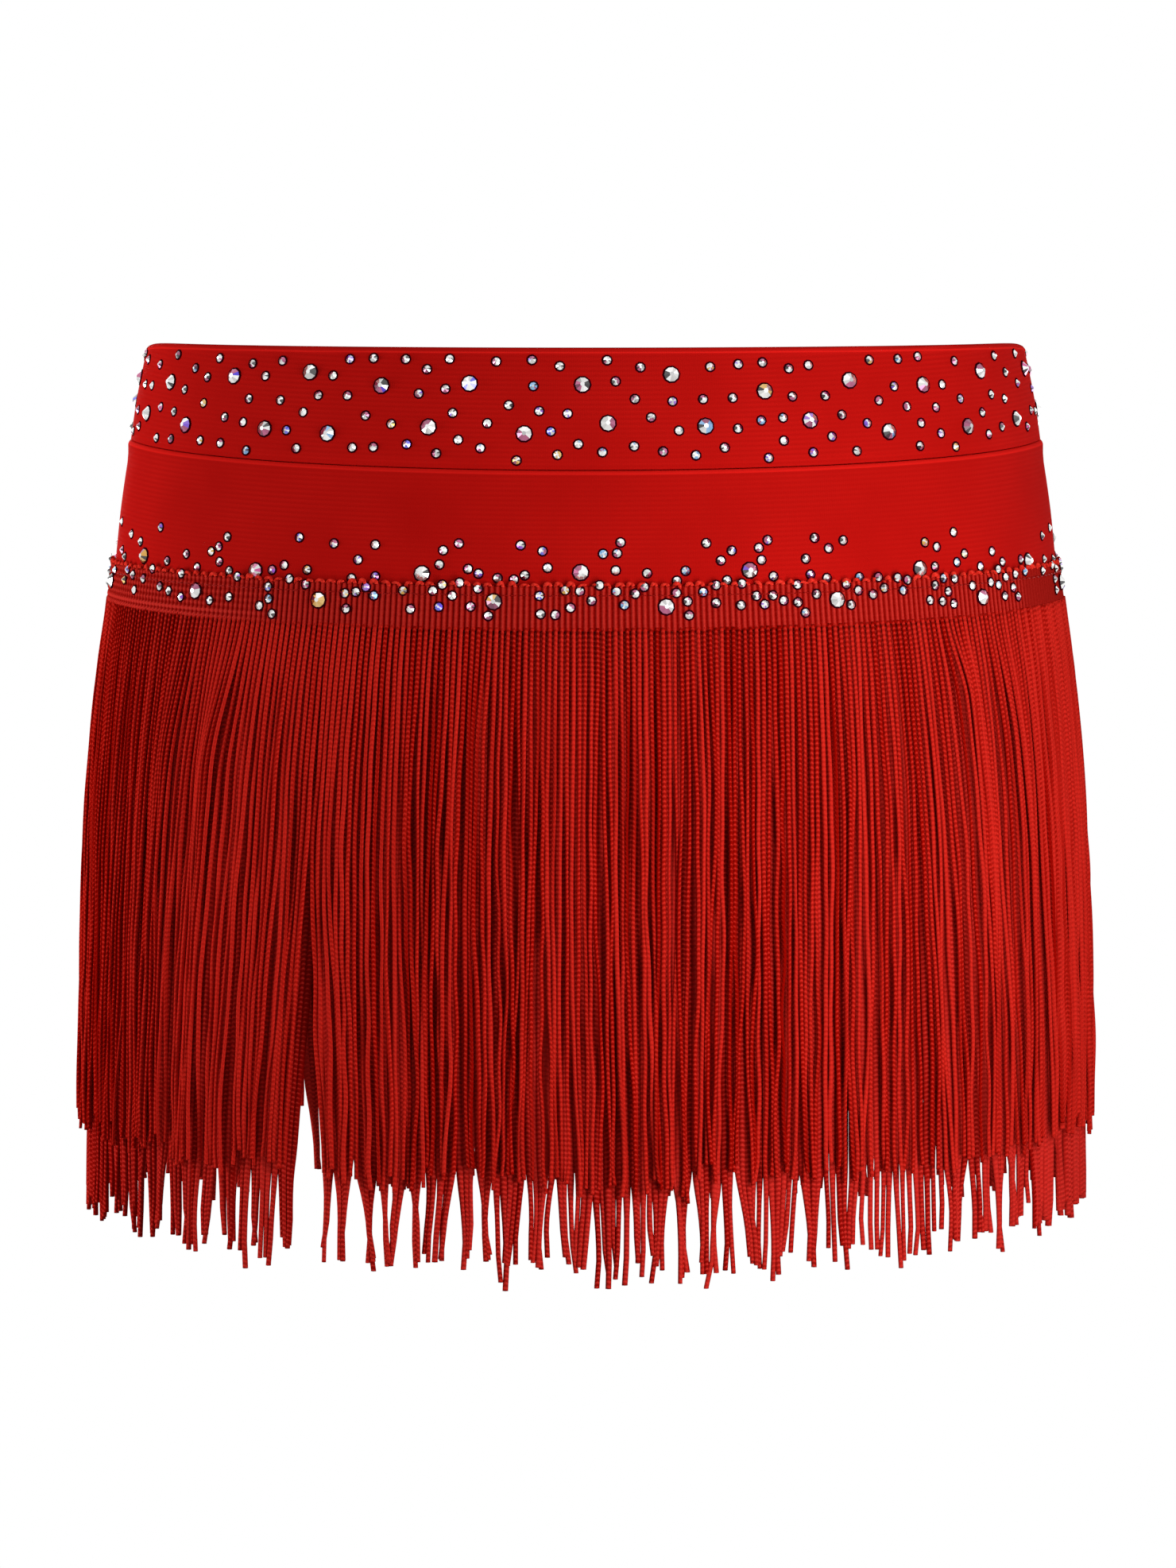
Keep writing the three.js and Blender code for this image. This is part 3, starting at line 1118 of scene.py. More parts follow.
@dataclass
class HeaderTape:
    """A woven header: cords side by side, bound by wefts, with a picot over each two."""

    name: str
    node: str
    near_offset: float
    out: int
    seed: int
    rests_on: str = "yoke_cloth"
    wall: float = 1.2
    cut_m: float = 0.0145
    strands: int = 223
    columns_a_strand: int = 5
    wefts: int = 7
    rows_a_weft: int = 4
    rib_height: float = 0.6
    flat_edge: tuple[float, float] = (-0.03, 0.04)
    fused: tuple[float, float] = (56.0, 20.0)
    fused_fade: float = 8.0
    fused_relief: tuple[float, float] = (0.5, 0.12)
    cord_relief: tuple[float, float] = (0.92, 0.62)
    weft_relief: tuple[float, float] = (0.06, 0.51)
    binding_relief: float = 0.6
    bound_front: tuple[float, float] = (95.0, 155.0)
    bound_back: tuple[float, float] = (175.0, 215.0)
    binding_rows: tuple[float, float] = (0.07, 0.2)
    binding_width: float = 0.03
    picot_yarn: float = 0.68
    picot_sides: int = 6
    picot_steps: int = 6
    picot_sunk: float = 0.3
    picot_unsteady: float = 0.12
    picot_out: tuple[float, float] = (0.7, 1.05)
    picot_width: tuple[float, float] = (0.85, 1.2)
    picot_height: tuple[float, float] = (0.7, 1.35)
    picot_lean: float = 0.28
    picot_tone: tuple[float, float] = (0.55, 1.0)
    tape: WovenTape = WovenTape("woven_header_tape")
    picot_finish: Chainette = Chainette("picot_chainette", light="#FF3C2E", dark="#C2140C")

    def pitch(self, half: Half) -> float:
        """Distance between two cords, in mm."""
        return FORM.total(half) / self.strands

    def shares(self) -> Array:
        """Shares of the tape's height, from its lower edge, as a row."""
        return np.linspace(0, 1, self.wefts * self.rows_a_weft + 1)[None, :]

    def relief(self, half: Half, length: Array) -> Array:
        """The tape's relief from 0 to 1: cords, crossed by wefts, fused flat at one end.

        Args:
            half: the half of the tape.
            length: lengths along it in mm, as a column.

        Returns:
            The relief at each length, and at each share of the tape's height.
        """
        share = self.shares()
        cords = np.sin(math.pi * ((length / self.pitch(half)) % 1.0))
        place = length - FORM.total(half) / 2
        if half is Half.FRONT:
            bound = smoothstep(-place, *self.bound_front)
        else:
            bound = smoothstep(place, *self.bound_back)
        wefts = np.sin(math.pi * self.wefts * share) ** 2
        woven = cords * np.interp(bound, (0, 1), self.cord_relief)
        woven = woven + wefts * np.interp(bound, (0, 1), self.weft_relief)
        for row in self.binding_rows:
            stitched = np.exp(-(((share - row) / self.binding_width) ** 2))
            woven += self.binding_relief * stitched * bound
        fused = FORM.beside(1, half, length, self.fused, self.fused_fade)
        level, ribbed = self.fused_relief
        return np.clip(woven, 0, 1) * (1 - fused) + (level + ribbed * cords) * fused

    def section(self, turn: Array, relief: Array) -> Profile:
        """The tape's section: ribbed on its far face, flat on the face against the yoke.

        Args:
            turn: turns from the front middle, as a column.
            relief: the tape's relief there.

        Returns:
            The closed section.
        """
        bottom = FORM.line("tape_bottom", turn)
        top = FORM.line("tape_top", turn)
        share = self.shares()
        edge = smoothstep(1 - share, *self.flat_edge)
        depth = self.wall - self.rib_height * (1 - relief * edge)
        near = self.near_offset + 0 * turn
        return Profile(
            np.hstack([bottom + (top - bottom) * share, top, bottom]),
            np.hstack([near + self.out * depth, near, near]),
            np.hstack([relief, 0 * top, 0 * top]),
        )

    def picot(self) -> tuple[Prototype, Array, Array]:
        """An arch of yarn that stands on its two ends.

        Returns:
            The arch in mm, and each point's places round its yarn in turns and along it in mm.
        """
        radius = self.pitch(Half.FRONT) / 2
        arch = bmesh.new()
        ring = bmesh.ops.create_circle(
            arch, cap_ends=True, segments=self.picot_sides, radius=self.picot_yarn
        )
        bmesh.ops.translate(arch, verts=ring["verts"], vec=(radius, 0, 0))
        bmesh.ops.spin(
            arch,
            geom=arch.faces[:],
            cent=(0, 0, 0),
            axis=(0, -1, 0),
            angle=math.pi,
            steps=self.picot_steps,
            use_merge=False,
            use_duplicate=False,
        )
        upright = Matrix.Rotation(-math.pi / 2, 3, "X")
        bmesh.ops.rotate(arch, verts=arch.verts, cent=(0, 0, 0), matrix=upright)
        bmesh.ops.recalc_face_normals(arch, faces=arch.faces)
        proto = Prototype.of(arch)
        x, y, z = proto.points.T
        around = np.arctan2(z, np.hypot(x, y) - radius) / (2 * math.pi)
        return proto, around, np.arctan2(y, x) * radius

    def build_picots(self, half: Half) -> Piece:
        """Makes the knotted edge of one half.

        Args:
            half: the half it runs along.

        Returns:
            The finished piece.
        """
        draw = np.random.default_rng([self.seed, half.away + 1])
        proto, around, along = self.picot()
        pairs = self.strands // 2
        unsteady = draw.normal(0, self.picot_unsteady, pairs)
        length = self.pitch(half) * (2 * np.arange(pairs) + 1 + unsteady)
        z = FORM.line("tape_top", FORM.turn_at(half, length)) - self.picot_sunk
        offset = self.near_offset + self.out * draw.uniform(*self.picot_out, pairs)
        sizes = [draw.uniform(*span, pairs) for span in (self.picot_width, self.picot_height)]
        lean = draw.normal(0, self.picot_lean, pairs)
        seats = Seats.on(half, length, z, offset)
        places = seats.place(proto.points, np.stack([*sizes, np.ones(pairs)], axis=1), lean)
        mesh = proto.array(f"{self.name}_picots_{half.value}", places, smooth=True)
        proto.lay_yarn_map(mesh, around, np.broadcast_to(along * MM, (pairs, len(along))))
        proto.lay_tone(mesh, draw.uniform(*self.picot_tone, (pairs, 1)) + 0 * around)
        return hold(put_in_scene(mesh, self.picot_finish.build()), "header_tape")

    def build(self) -> list[Piece]:
        """Makes the tape and its picots in both halves.

        Returns:
            The four pieces.
        """
        made = []
        for half in Half:
            shell = Shell(half, self.strands * self.columns_a_strand)
            section = partial(self.section, relief=self.relief(half, shell.lengths()))
            piece = shell.build(f"{self.name}_{half.value}", self.tape.build(), section)
            hold(piece, "header_tape", f"{self.node}_{half.value}")
            FORM.total(half) * MM
            made += [piece, self.build_picots(half)]
        return made


class Bunch(NamedTuple):
    """Strands drawn aside near the header: where, how far, by what share of their length.

    Its last field is a painted highlight on its strands, or painted shade below zero; lift is how
    far they stand off.
    """

    half: Half
    place: float
    spread: float
    shift: float
    reach: float
    lift: float
    painted_light: float = 0.0


class Strands(NamedTuple):
    """The strands of one half of a ring, and their own source of chance.

    The roots are lengths along the half in mm, as a column. Shares of a strand's length and
    angles round it are rows, with one value for each of its points.
    """

    half: Half
    draw: Chance
    root: Array
    t: Array
    around: Array


@dataclass
class Fringe:
    """A ring of chainette strands that hang from a header tape."""

    name: str
    node: str
    slot: str
    hem: str
    seed: int
    finish: Chainette
    offsets: tuple[float, float, float]
    offset_shares: tuple[float, ...] = (0.0, 0.02, 0.16, 0.6, 1.0)
    bunches: tuple[Bunch, ...] = ()
    stagger: float = 0.0
    strands: int = 223
    sides: int = 6
    rings: int = 62
    width: float = 1.56
    thickness: float = 1.2
    root_width: float = 1.42
    root_until: tuple[float, float] = (0.01, 0.1)
    part_from: float = 0.0
    closed_below: float = 0.0
    into_tape: float = 1.2
    cut_end: float = 0.5
    first_stitch: float = 2.0
    clump_sizes: tuple[int, int] = (2, 7)
    body_pull: float = 0.1
    joined_tips: float = 0.04
    joined_pull: float = 0.9
    tip_pull: float = 0.2
    pull_from: float = 0.8
    pull_until: float = 1.0
    clump_lean: float = 0.8
    lean_from: float = 0.1
    clump_lift: tuple[float, float] = (-0.4, 0.5)
    settled_by: tuple[float, float] = (0.03, 0.5)
    strand_lean: float = 0.5
    strand_lean_from: float = 0.75
    strand_lift: float = 0.2
    freed_by: tuple[float, float] = (0.02, 0.2)
    tip_hook: float = 0.4
    hook_from: float = 0.94
    ragged_clump: float = 3.0
    ragged_strand: float = 2.0
    wander: float = 0.55
    wander_waves: tuple[tuple[float, float], ...] = ((1.1, 1.0), (2.7, 0.45), (5.5, 0.2))
    phase_span: float = 6.3
    twist: float = 1.0
    twist_strength: tuple[float, float] = (0.2, 0.9)
    twist_turns: tuple[float, float] = (0.6, 1.8)
    twist_spread: float = 0.35
    uneven: float = 0.06
    dense: tuple[float, float] = (62.0, 26.0)
    dense_fade: float = 14.0
    dense_growth: float = 0.4
    # painted highlight near the +X seam, and painted shade near the -X seam
    painted_dense_highlight: float = 0.26
    seam_shade_reach: tuple[float, float] = (88.0, 60.0)
    seam_shade_fade: float = 36.0
    painted_seam_shade: float = 0.33
    mean_tone: float = 0.62
    strand_tone: float = 0.21
    tone_wave: float = 0.1
    tone_turns: float = 1.4
    end_shade: float = 0.3
    shaded: float = 0.0
    shaded_until: tuple[float, float] = (0.7, 0.92)

    def clumps(self, draw: Chance) -> tuple[Array, Array]:
        """Gathers neighbouring strands into clumps.

        Args:
            draw: the half's own source of chance.

        Returns:
            Each strand's clump number, and how many strands it is from its clump's middle.
        """
        sizes = draw.integers(*self.clump_sizes, self.strands)
        ends = np.cumsum(sizes)
        numbers = np.searchsorted(ends, np.arange(self.strands), side="right")
        middles = ends - (sizes + 1) / 2
        return numbers, np.arange(self.strands) - middles[numbers]

    def hang(self, strands: Strands) -> tuple[Array, Array, Array]:
        """How far strands move from hanging straight down.

        Args:
            strands: the strands of one half.

        Returns:
            How far each point moves along the cloth and outwards, and each strand's added
            length, all in mm.
        """
        half, draw, root, t, _ = strands
        count = self.strands
        place = root - FORM.total(half) / 2
        numbers, from_middle = self.clumps(draw)
        spacing = from_middle[:, None] * FORM.total(half) / count
        settled = smoothstep(t, *self.settled_by)

        def each_clump(values: Array) -> Array:
            """One value a clump, given to each of its strands as a column."""
            return values[numbers][:, None]

        def each_strand(spread: float) -> Array:
            """One value a strand, drawn round zero, as a column."""
            return draw.normal(0, spread, (count, 1))

        body = each_clump(draw.uniform(0, self.body_pull, count)) * settled
        joined = draw.random(count) < self.joined_tips
        pulled = np.where(joined, self.joined_pull, draw.uniform(0, self.tip_pull, count))
        tips = each_clump(pulled) * smoothstep(t, self.pull_from, self.pull_until)
        lean = each_clump(draw.normal(0, self.clump_lean, count))
        moved = lean * smoothstep(t, self.lean_from, 1) - spacing * (body + tips)
        moved += each_strand(self.strand_lean) * smoothstep(t, self.strand_lean_from, 1)
        moved += each_strand(self.tip_hook) * smoothstep(t, self.hook_from, 1) ** 2
        lift = each_clump(draw.uniform(*self.clump_lift, count)) * settled
        lift += each_strand(self.strand_lift) * smoothstep(t, *self.freed_by)

        ease = 1 - (1 - t) ** 2
        for row in (*SWEEPS, *self.bunches):
            if row.half is half:
                felt = np.exp(-(((place - row.place) / row.spread) ** 2))
                felt = felt * (smoothstep(t, 0, row.reach) if isinstance(row, Bunch) else ease)
                moved += row.shift * felt
                lift += row.lift * felt
        for part in PARTINGS:
            if part.half is half and part.width > self.closed_below:
                away = place - part.place
                drawn = np.sign(away) * np.exp(-np.abs(away) / part.reach)
                opened = smoothstep(t, max(part.start, self.part_from), 1)
                moved += part.width / 2 * drawn * opened
        for turns, size in self.wander_waves:
            phase = draw.uniform(0, 2 * math.pi, (2, count, 1))
            strength = draw.normal(0, size * self.wander, (2, count, 1))
            swing = strength * np.sin(2 * math.pi * turns * t + phase) * ease
            moved += swing[0]
            lift += swing[1]
        longer = each_clump(draw.uniform(-self.ragged_clump, self.ragged_clump, count))
        return moved, lift, longer + each_strand(self.ragged_strand)

    def cross_sections(self, strands: Strands) -> tuple[Array, Array]:
        """How far each point of a strand lies from the strand's own middle.

        Args:
            strands: the strands of one half.

        Returns:
            How far it lies along the cloth and outwards, in mm.
        """
        half, draw, root, t, around = strands
        column = self.strands, 1
        strength = draw.uniform(*self.twist_strength, column)
        turns = draw.uniform(*self.twist_turns, column)
        phase = self.phase_span * draw.random(column)
        lie = draw.normal(0, self.twist_spread, column)
        twist = strength * np.sin(2 * math.pi * turns * t + phase) + lie
        twist *= self.twist * smoothstep(t, *self.freed_by)
        dense = FORM.beside(1, half, root, self.dense, self.dense_fade)
        full = draw.normal(1, self.uneven, column) * (1 + self.dense_growth * dense)
        freed = smoothstep(t, *self.root_until)
        width = self.root_width + (self.width - self.root_width) * freed
        across = np.cos(around) * width / 2 * full
        through = np.sin(around) * self.thickness / 2 * full
        level = across * np.cos(twist) - through * np.sin(twist)
        return level, across * np.sin(twist) + through * np.cos(twist)

    def tones(self, strands: Strands) -> Array:
        """The yarn's shade at each point, from 0, dark, to 1, light.

        Args:
            strands: the strands of one half.

        Returns:
            The shades: each strand's own tone, with a painted highlight by one side seam and in
                some bunches, painted shade by the other seam, and painted shade near the roots
                where the ring is shaded.
        """
        half, draw, root, t, _ = strands
        column = self.strands, 1
        own = draw.normal(self.mean_tone, self.strand_tone, column)
        phase = self.phase_span * draw.random(column)
        tone = own + self.tone_wave * np.sin(2 * math.pi * self.tone_turns * t + phase)
        tone -= self.shaded * (1 - smoothstep(t, *self.shaded_until))
        # painted highlight by the +X seam, and painted shade by the -X seam
        tone += self.painted_dense_highlight * FORM.beside(1, half, root, self.dense, self.dense_fade)
        tone -= self.painted_seam_shade * FORM.beside(-1, half, root, self.seam_shade_reach, self.seam_shade_fade)
        # painted highlight, or painted shade below zero, in the listed bunches
        for row in self.bunches:
            if row.half is half:
                away = (root - FORM.total(half) / 2 - row.place) / row.spread
                tone += row.painted_light * np.exp(-(away**2))
        return tone

    def build_half(self, half: Half) -> Piece:
        """Makes the strands of one half.

        Args:
            half: the half they hang in.

        Returns:
            The finished piece.
        """
        draw = np.random.default_rng([self.seed, half.away + 1])
        proto = Prototype.rod(self.sides, self.rings, Matrix())
        x, y, z = proto.points.T
        around = np.arctan2(y, x)
        pitch = FORM.total(half) / self.strands
        root = pitch * (np.arange(self.strands) + 0.5 + self.stagger)[:, None]
        root_turn = FORM.turn_at(half, root)
        root_z = FORM.line("tape_bottom", root_turn)
        fall = root_z - FORM.line(self.hem, root_turn)
        share = 0.5 - z
        near_end = np.isclose(share, 1 - 1 / self.rings)
        last_ring = 1 - self.cut_end / fall.mean()
        t = np.where(near_end, last_ring, share)[None, :]

        strands = Strands(half, draw, root, t, around)
        moved, lift, longer = self.hang(strands)
        turn = FORM.turn_at(half, root + moved)
        height = root_z + self.into_tape - (fall + longer + self.into_tape) * t
        at_root, at_middle, at_tip = self.offsets
        bends = [at_root, at_root, at_middle, at_middle, at_tip]
        offset = np.interp(t, self.offset_shares, bends)
        level, outward = self.cross_sections(strands)
        normal_x, normal_y = FORM.normal(turn, height)
        points = FORM.point(half, turn, height, offset + lift + outward)
        points[..., 0] -= level * normal_y * MM
        points[..., 1] += level * normal_x * MM

        mesh = proto.array(f"{self.name}_{half.value}", points, smooth=True)
        first_stitch = draw.uniform(0, self.first_stitch * MM, (self.strands, 1))
        along = (fall + longer) * t * MM + first_stitch
        proto.lay_yarn_map(mesh, around / (2 * math.pi), along)
        proto.lay_tone(mesh, self.tones(strands) - self.end_shade * (t > last_ring))
        piece = put_in_scene(mesh, self.finish.build())
        return hold(piece, self.slot, f"{self.node}_{half.value}")

    def build(self) -> list[Piece]:
        """Makes the strands of both halves, as two pieces."""
        return [self.build_half(half) for half in Half]


@dataclass
class Seams:
    """The sewing: overlocked allowances inside, and the stitches that hold the outer tape."""

    seed: int = 41
    columns: int = 120
    side_columns: int = 8
    side_rows: int = 24
    allowance: float = 5.0
    wall: float = 0.7
    under_yoke: float = -1.6
    pillow: float = 0.15
    seam_tuck: float = 0.6
    side_ends: tuple[float, float] = (2.2, 2.0)
    side_heights: tuple[float, ...] = (-76.0, -36.0, -30.0)
    side_offsets: tuple[float, ...] = (-3.2, -3.05, -2.6)
    yarn: float = 0.17
    yarn_sides: int = 5
    yarn_rings: int = 4
    bow: float = 0.25
    unsteady: float = 0.06
    below_line: float = 3.2
    end_clear: float = 1.0
    overlock_pitch: float = 2.4
    overlock_run: float = 5.0
    overlock_lean: float = 0.42
    tape_stitch: float = 2.6
    tape_stitch_gap: float = 0.7
    tape_face: float = 1.55
    knit: RibKnit = RibKnit("allowance_rib_knit", light="#C61318", dark="#9C080C")
    thread: SpunThread = SpunThread("spun_sewing_thread")

    def sew(
        self, name: str, half: Half, pitch: float, line: str, offset: float, run: float, spin: float
    ) -> Piece:
        """Sews a row of stitches a little below a seam or edge.

        Args:
            name: the piece's name.
            half: the half they are sewn on.
            pitch: how far apart they are, in mm.
            line: the seam or edge.
            offset: how far their ends stand off the form, in mm.
            run: each stitch's own length, in mm.
            spin: how far it leans from upright, in radians.

        Returns:
            The finished piece.
        """
        length = np.arange(pitch, FORM.total(half) - self.end_clear, pitch)
        z = FORM.line(line, FORM.turn_at(half, length)) - self.below_line
        lying = Matrix.Rotation(-math.pi / 2, 4, "X")
        proto = Prototype.rod(self.yarn_sides, self.yarn_rings, lying)
        bowed = proto.points * np.array([self.yarn, run, self.yarn])
        rise = self.bow * (1 - (2 * proto.points[:, 1]) ** 2)
        bowed[:, 2] += rise if offset > 0 else -rise
        draw = np.random.default_rng([self.seed, len(length), half.away + 1])
        turned = spin + draw.normal(0, self.unsteady, len(length))
        seats = Seats.on(half, length, z, np.full(len(length), offset))
        places = seats.place(bowed, np.ones(len(length)), turned)
        mesh = proto.array(f"{name}_{half.value}", places, smooth=True)
        return hold(put_in_scene(mesh, self.thread.build()), "sewing_thread")

    def seam_strip(self, turn: Array) -> Profile:
        """The allowance of the band's seam, pressed down inside the yoke.

        Args:
            turn: turns from the front middle, as a column.

        Returns:
            Its closed section.
        """
        top = FORM.line("band_seam", turn) - self.seam_tuck
        middle, bottom = top - self.allowance / 2, top - self.allowance
        near = self.under_yoke + 0 * turn
        far = near - self.wall
        return Profile(
            np.hstack([bottom, middle, top, top, middle, bottom]),
            np.hstack([near, near, near, far, far - self.pillow, far]),
            np.zeros((len(turn), 6)),
        )

    def side_strip(self, turn: Array) -> Profile:
        """The binding over a side seam, inside, from the band's top to the tape's lower edge.

        Args:
            turn: turns from the front middle, as a column.

        Returns:
            Its closed section.
        """
        top = FORM.line("top_edge", turn) - self.side_ends[0]
        bottom = FORM.line("tape_bottom", turn) + self.side_ends[1]
        z = bottom + (top - bottom) * np.linspace(0, 1, self.side_rows)[None, :]
        near = np.interp(z, self.side_heights, self.side_offsets)
        return Profile(
            np.hstack([z, z[:, ::-1]]),
            np.hstack([near, near[:, ::-1] - self.wall]),
            np.zeros((len(turn), 2 * self.side_rows)),
        )

    def build(self) -> list[Piece]:
        """Makes the bindings, the allowances and all the stitches.

        Returns:
            The pieces.
        """
        made = []
        for side, middle in (("right", 0.0), ("left", FORM.total(Half.FRONT))):
            ends = middle - self.allowance, middle + self.allowance
            strip = Shell(Half.FRONT, self.side_columns, *ends).build(
                f"side_binding_{side}", self.knit.build(), self.side_strip
            )
            made.append(hold(strip, "yoke_knit"))
        overlock = self.overlock_pitch, "band_seam", self.under_yoke - self.wall - self.pillow
        tacking = self.tape_stitch + self.tape_stitch_gap, "tape_top", self.tape_face
        for half in Half:
            strip = Shell(half, self.columns).build(
                f"seam_allowance_{half.value}", self.knit.build(), self.seam_strip
            )
            made += [
                hold(strip, "yoke_knit"),
                self.sew("overlock", half, *overlock, self.overlock_run, self.overlock_lean),
                self.sew("tape_stitches", half, *tacking, self.tape_stitch, math.pi / 2),
            ]
        return made


class Stone(NamedTuple):
    """A stone's place: length along the half, height, radius and offset, in mm."""

    length: float
    z: float
    radius: float
    offset: float


@dataclass
class Stones:
    """Flat-back stones glued over the band and over the fringe's header."""

    seed: int = 11
    small_radius: float = 1.3
    large_radius: float = 2.45
    sides: int = 10
    table_radius: float = 0.3
    crown_height: float = 0.55
    girdle_height: float = 0.15
    shadow_rim: float = 0.6
    shadow_rim_height: float = 0.01
    tries: int = 60
    margin: float = 1.0
    band_count: int = 125
    band_spacing: float = 7.6
    band_large_pitch: float = 33.0
    band_rows: tuple[float, float] = (0.24, 0.7)
    band_start: float = 0.35
    band_unsteady: tuple[float, float] = (0.12, 0.09)
    band_offset: float = 0.2
    top_margin: float = 3.6
    seam_margin: float = 2.8
    hem_count: int = 172
    hem_spacing: float = 3.7
    hem_large_pitch: float = 29.0
    hem_rows: tuple[float, float] = (6.5, -3.5)
    hem_unsteady: tuple[float, float] = (0.15, 1.5)
    tape_offset: float = 1.6
    yoke_offset: float = 0.05
    tape_reach: float = -1.2
    stray_chance: float = 0.1
    stray_reach: tuple[float, float] = (8.0, 15.0)
    dense_middle: float = 1.4
    dense_spread: float = 4.4
    dense_reach: tuple[float, float] = (-8.0, 11.5)
    glass: FoiledGlass = FoiledGlass("foiled_cut_glass")

    def prototype(self) -> Prototype:
        """A cut stone of unit radius: flat back, girdle, ten crown facets and a small table.

        Returns:
            The stone, which lies on its back.
        """
        stone = bmesh.new()
        bmesh.ops.create_cone(
            stone,
            cap_ends=True,
            segments=self.sides,
            radius1=1,
            radius2=self.table_radius,
            depth=self.crown_height,
        )
        lifted = self.girdle_height + self.crown_height / 2
        bmesh.ops.translate(stone, verts=stone.verts, vec=(0, 0, lifted))
        back = min(stone.faces, key=lambda face: face.calc_center_median().z)
        girdle = bmesh.ops.extrude_face_region(stone, geom=[back])
        low = [item for item in girdle["geom"] if isinstance(item, bmesh.types.BMVert)]
        bmesh.ops.translate(stone, verts=low, vec=(0, 0, -self.girdle_height))
        bmesh.ops.delete(stone, geom=[back], context="FACES_ONLY")
        bmesh.ops.recalc_face_normals(stone, faces=stone.faces)
        return Prototype.of(stone)

    def scatter(
        self, stones: list[Stone], count: int, spacing: float, throw: Callable[[], Stone]
    ) -> list[Stone]:
        """Throws small stones one by one, and keeps those that land clear of the others.

        Args:
            stones: the stones so far.
            count: how many more to keep.
            spacing: the least distance between the middles of two small ones, in mm.
            throw: gives a new place.

        Returns:
            The stones so far and the new ones.
        """
        kept = list(stones)
        for _ in range(count * self.tries):
            thrown = throw()
            clear = all(
                math.hypot(thrown.length - other.length, thrown.z - other.z)
                > spacing + other.radius - self.small_radius
                for other in kept
            )
            if clear:
                kept.append(thrown)
            if len(kept) == len(stones) + count:
                break
        return kept

    def on_band(self, half: Half, length: float, share: float, radius: float) -> Stone:
        """A stone on the band.

        Args:
            half: the half it is on.
            length: its length along the half, in mm.
            share: its share of the way down from the band's top edge to its seam.
            radius: its radius, in mm.

        Returns:
            The stone.
        """
        turn = FORM.turn_at(half, np.array(length))
        high = float(FORM.line("top_edge", turn)) - self.top_margin
        low = float(FORM.line("band_seam", turn)) + self.seam_margin
        z = high + (low - high) * min(max(share, 0), 1)
        return Stone(length, z, radius, self.band_offset)

    def on_hem(self, half: Half, length: float, below: float, radius: float) -> Stone:
        """A stone by the tape's upper edge, on the tape or above it on the yoke.

        Args:
            half: the half it is on.
            length: its length along the half, in mm.
            below: how far it is below the edge, in mm.
            radius: its radius, in mm.

        Returns:
            The stone.
        """
        turn = FORM.turn_at(half, np.array(length))
        z = float(FORM.line("tape_top", turn)) - below
        offset = self.tape_offset if below > self.tape_reach else self.yoke_offset
        return Stone(length, z, radius, offset)

    def band_stones(self, half: Half) -> list[Stone]:
        """The band's stones: large ones in a zigzag of two rows, small ones between them.

        Args:
            half: the half they are on.

        Returns:
            The stones.
        """
        draw = np.random.default_rng([self.seed, 1, half.away + 1])
        total = FORM.total(half)
        pairs = int(total / self.band_large_pitch)
        aside, up = self.band_unsteady
        large = []
        for i in range(pairs):
            for row, share in enumerate(self.band_rows):
                along = i + self.band_start + row / 2 + draw.uniform(-aside, aside)
                share = share + draw.uniform(-up, up)
                large.append(self.on_band(half, along * total / pairs, share, self.large_radius))

        def throw() -> Stone:
            """A small stone's new place, anywhere on the band."""
            length = draw.uniform(self.margin, total - self.margin)
            return self.on_band(half, length, draw.random(), self.small_radius)

        return self.scatter(large, self.band_count, self.band_spacing, throw)

    def hem_stones(self, half: Half) -> list[Stone]:
        """The header's stones: dense over the tape's upper edge, with strays on the yoke.

        Args:
            half: the half they are on.

        Returns:
            The stones.
        """
        draw = np.random.default_rng([self.seed, 2, half.away + 1])
        total = FORM.total(half)
        count = int(total / self.hem_large_pitch)
        aside, up = self.hem_unsteady
        large = []
        for i in range(count):
            along = i + 0.5 + draw.uniform(-aside, aside)
            below = self.hem_rows[i % 2] + draw.uniform(-up, up)
            large.append(self.on_hem(half, along * total / count, below, self.large_radius))

        def throw() -> Stone:
            """Finds a small stone a new place near the tape's edge, or now and then far above.

            Returns:
                The stone.
            """
            if draw.random() < self.stray_chance:
                below = -draw.uniform(*self.stray_reach)
            else:
                drawn = draw.normal(self.dense_middle, self.dense_spread)
                below = min(max(drawn, self.dense_reach[0]), self.dense_reach[1])
            length = draw.uniform(self.margin, total - self.margin)
            return self.on_hem(half, length, below, self.small_radius)

        return self.scatter(large, self.hem_count, self.hem_spacing, throw)

    def build_group(self, name: str, half: Half, stones: list[Stone]) -> Piece:
        """Makes one group of stones as a joined mesh.

        Args:
            name: the piece's name.
            half: the half that carries them.
            stones: their places.

        Returns:
            The finished piece.
        """
        draw = np.random.default_rng([self.seed, 3, len(stones), half.away + 1])
        proto = self.prototype()
        length, z, radius, offset = np.array(stones).T
        spin = draw.uniform(0, 2 * math.pi, len(stones))
        # painted shadow: the stone's foot is widened into a dark rim round it
        in_shadow_rim = proto.points[:, 2] < self.shadow_rim_height
        widened = 1 + self.shadow_rim / radius[:, None] * in_shadow_rim
        points = proto.points * np.stack([widened, widened, np.ones_like(widened)], axis=-1)
        places = Seats.on(half, length, z, offset).place(points, radius, spin)
        mesh = proto.array(name, places, smooth=False)
        normals = proto.normals()
        facing = np.arctan2(normals[:, 1], normals[:, 0])
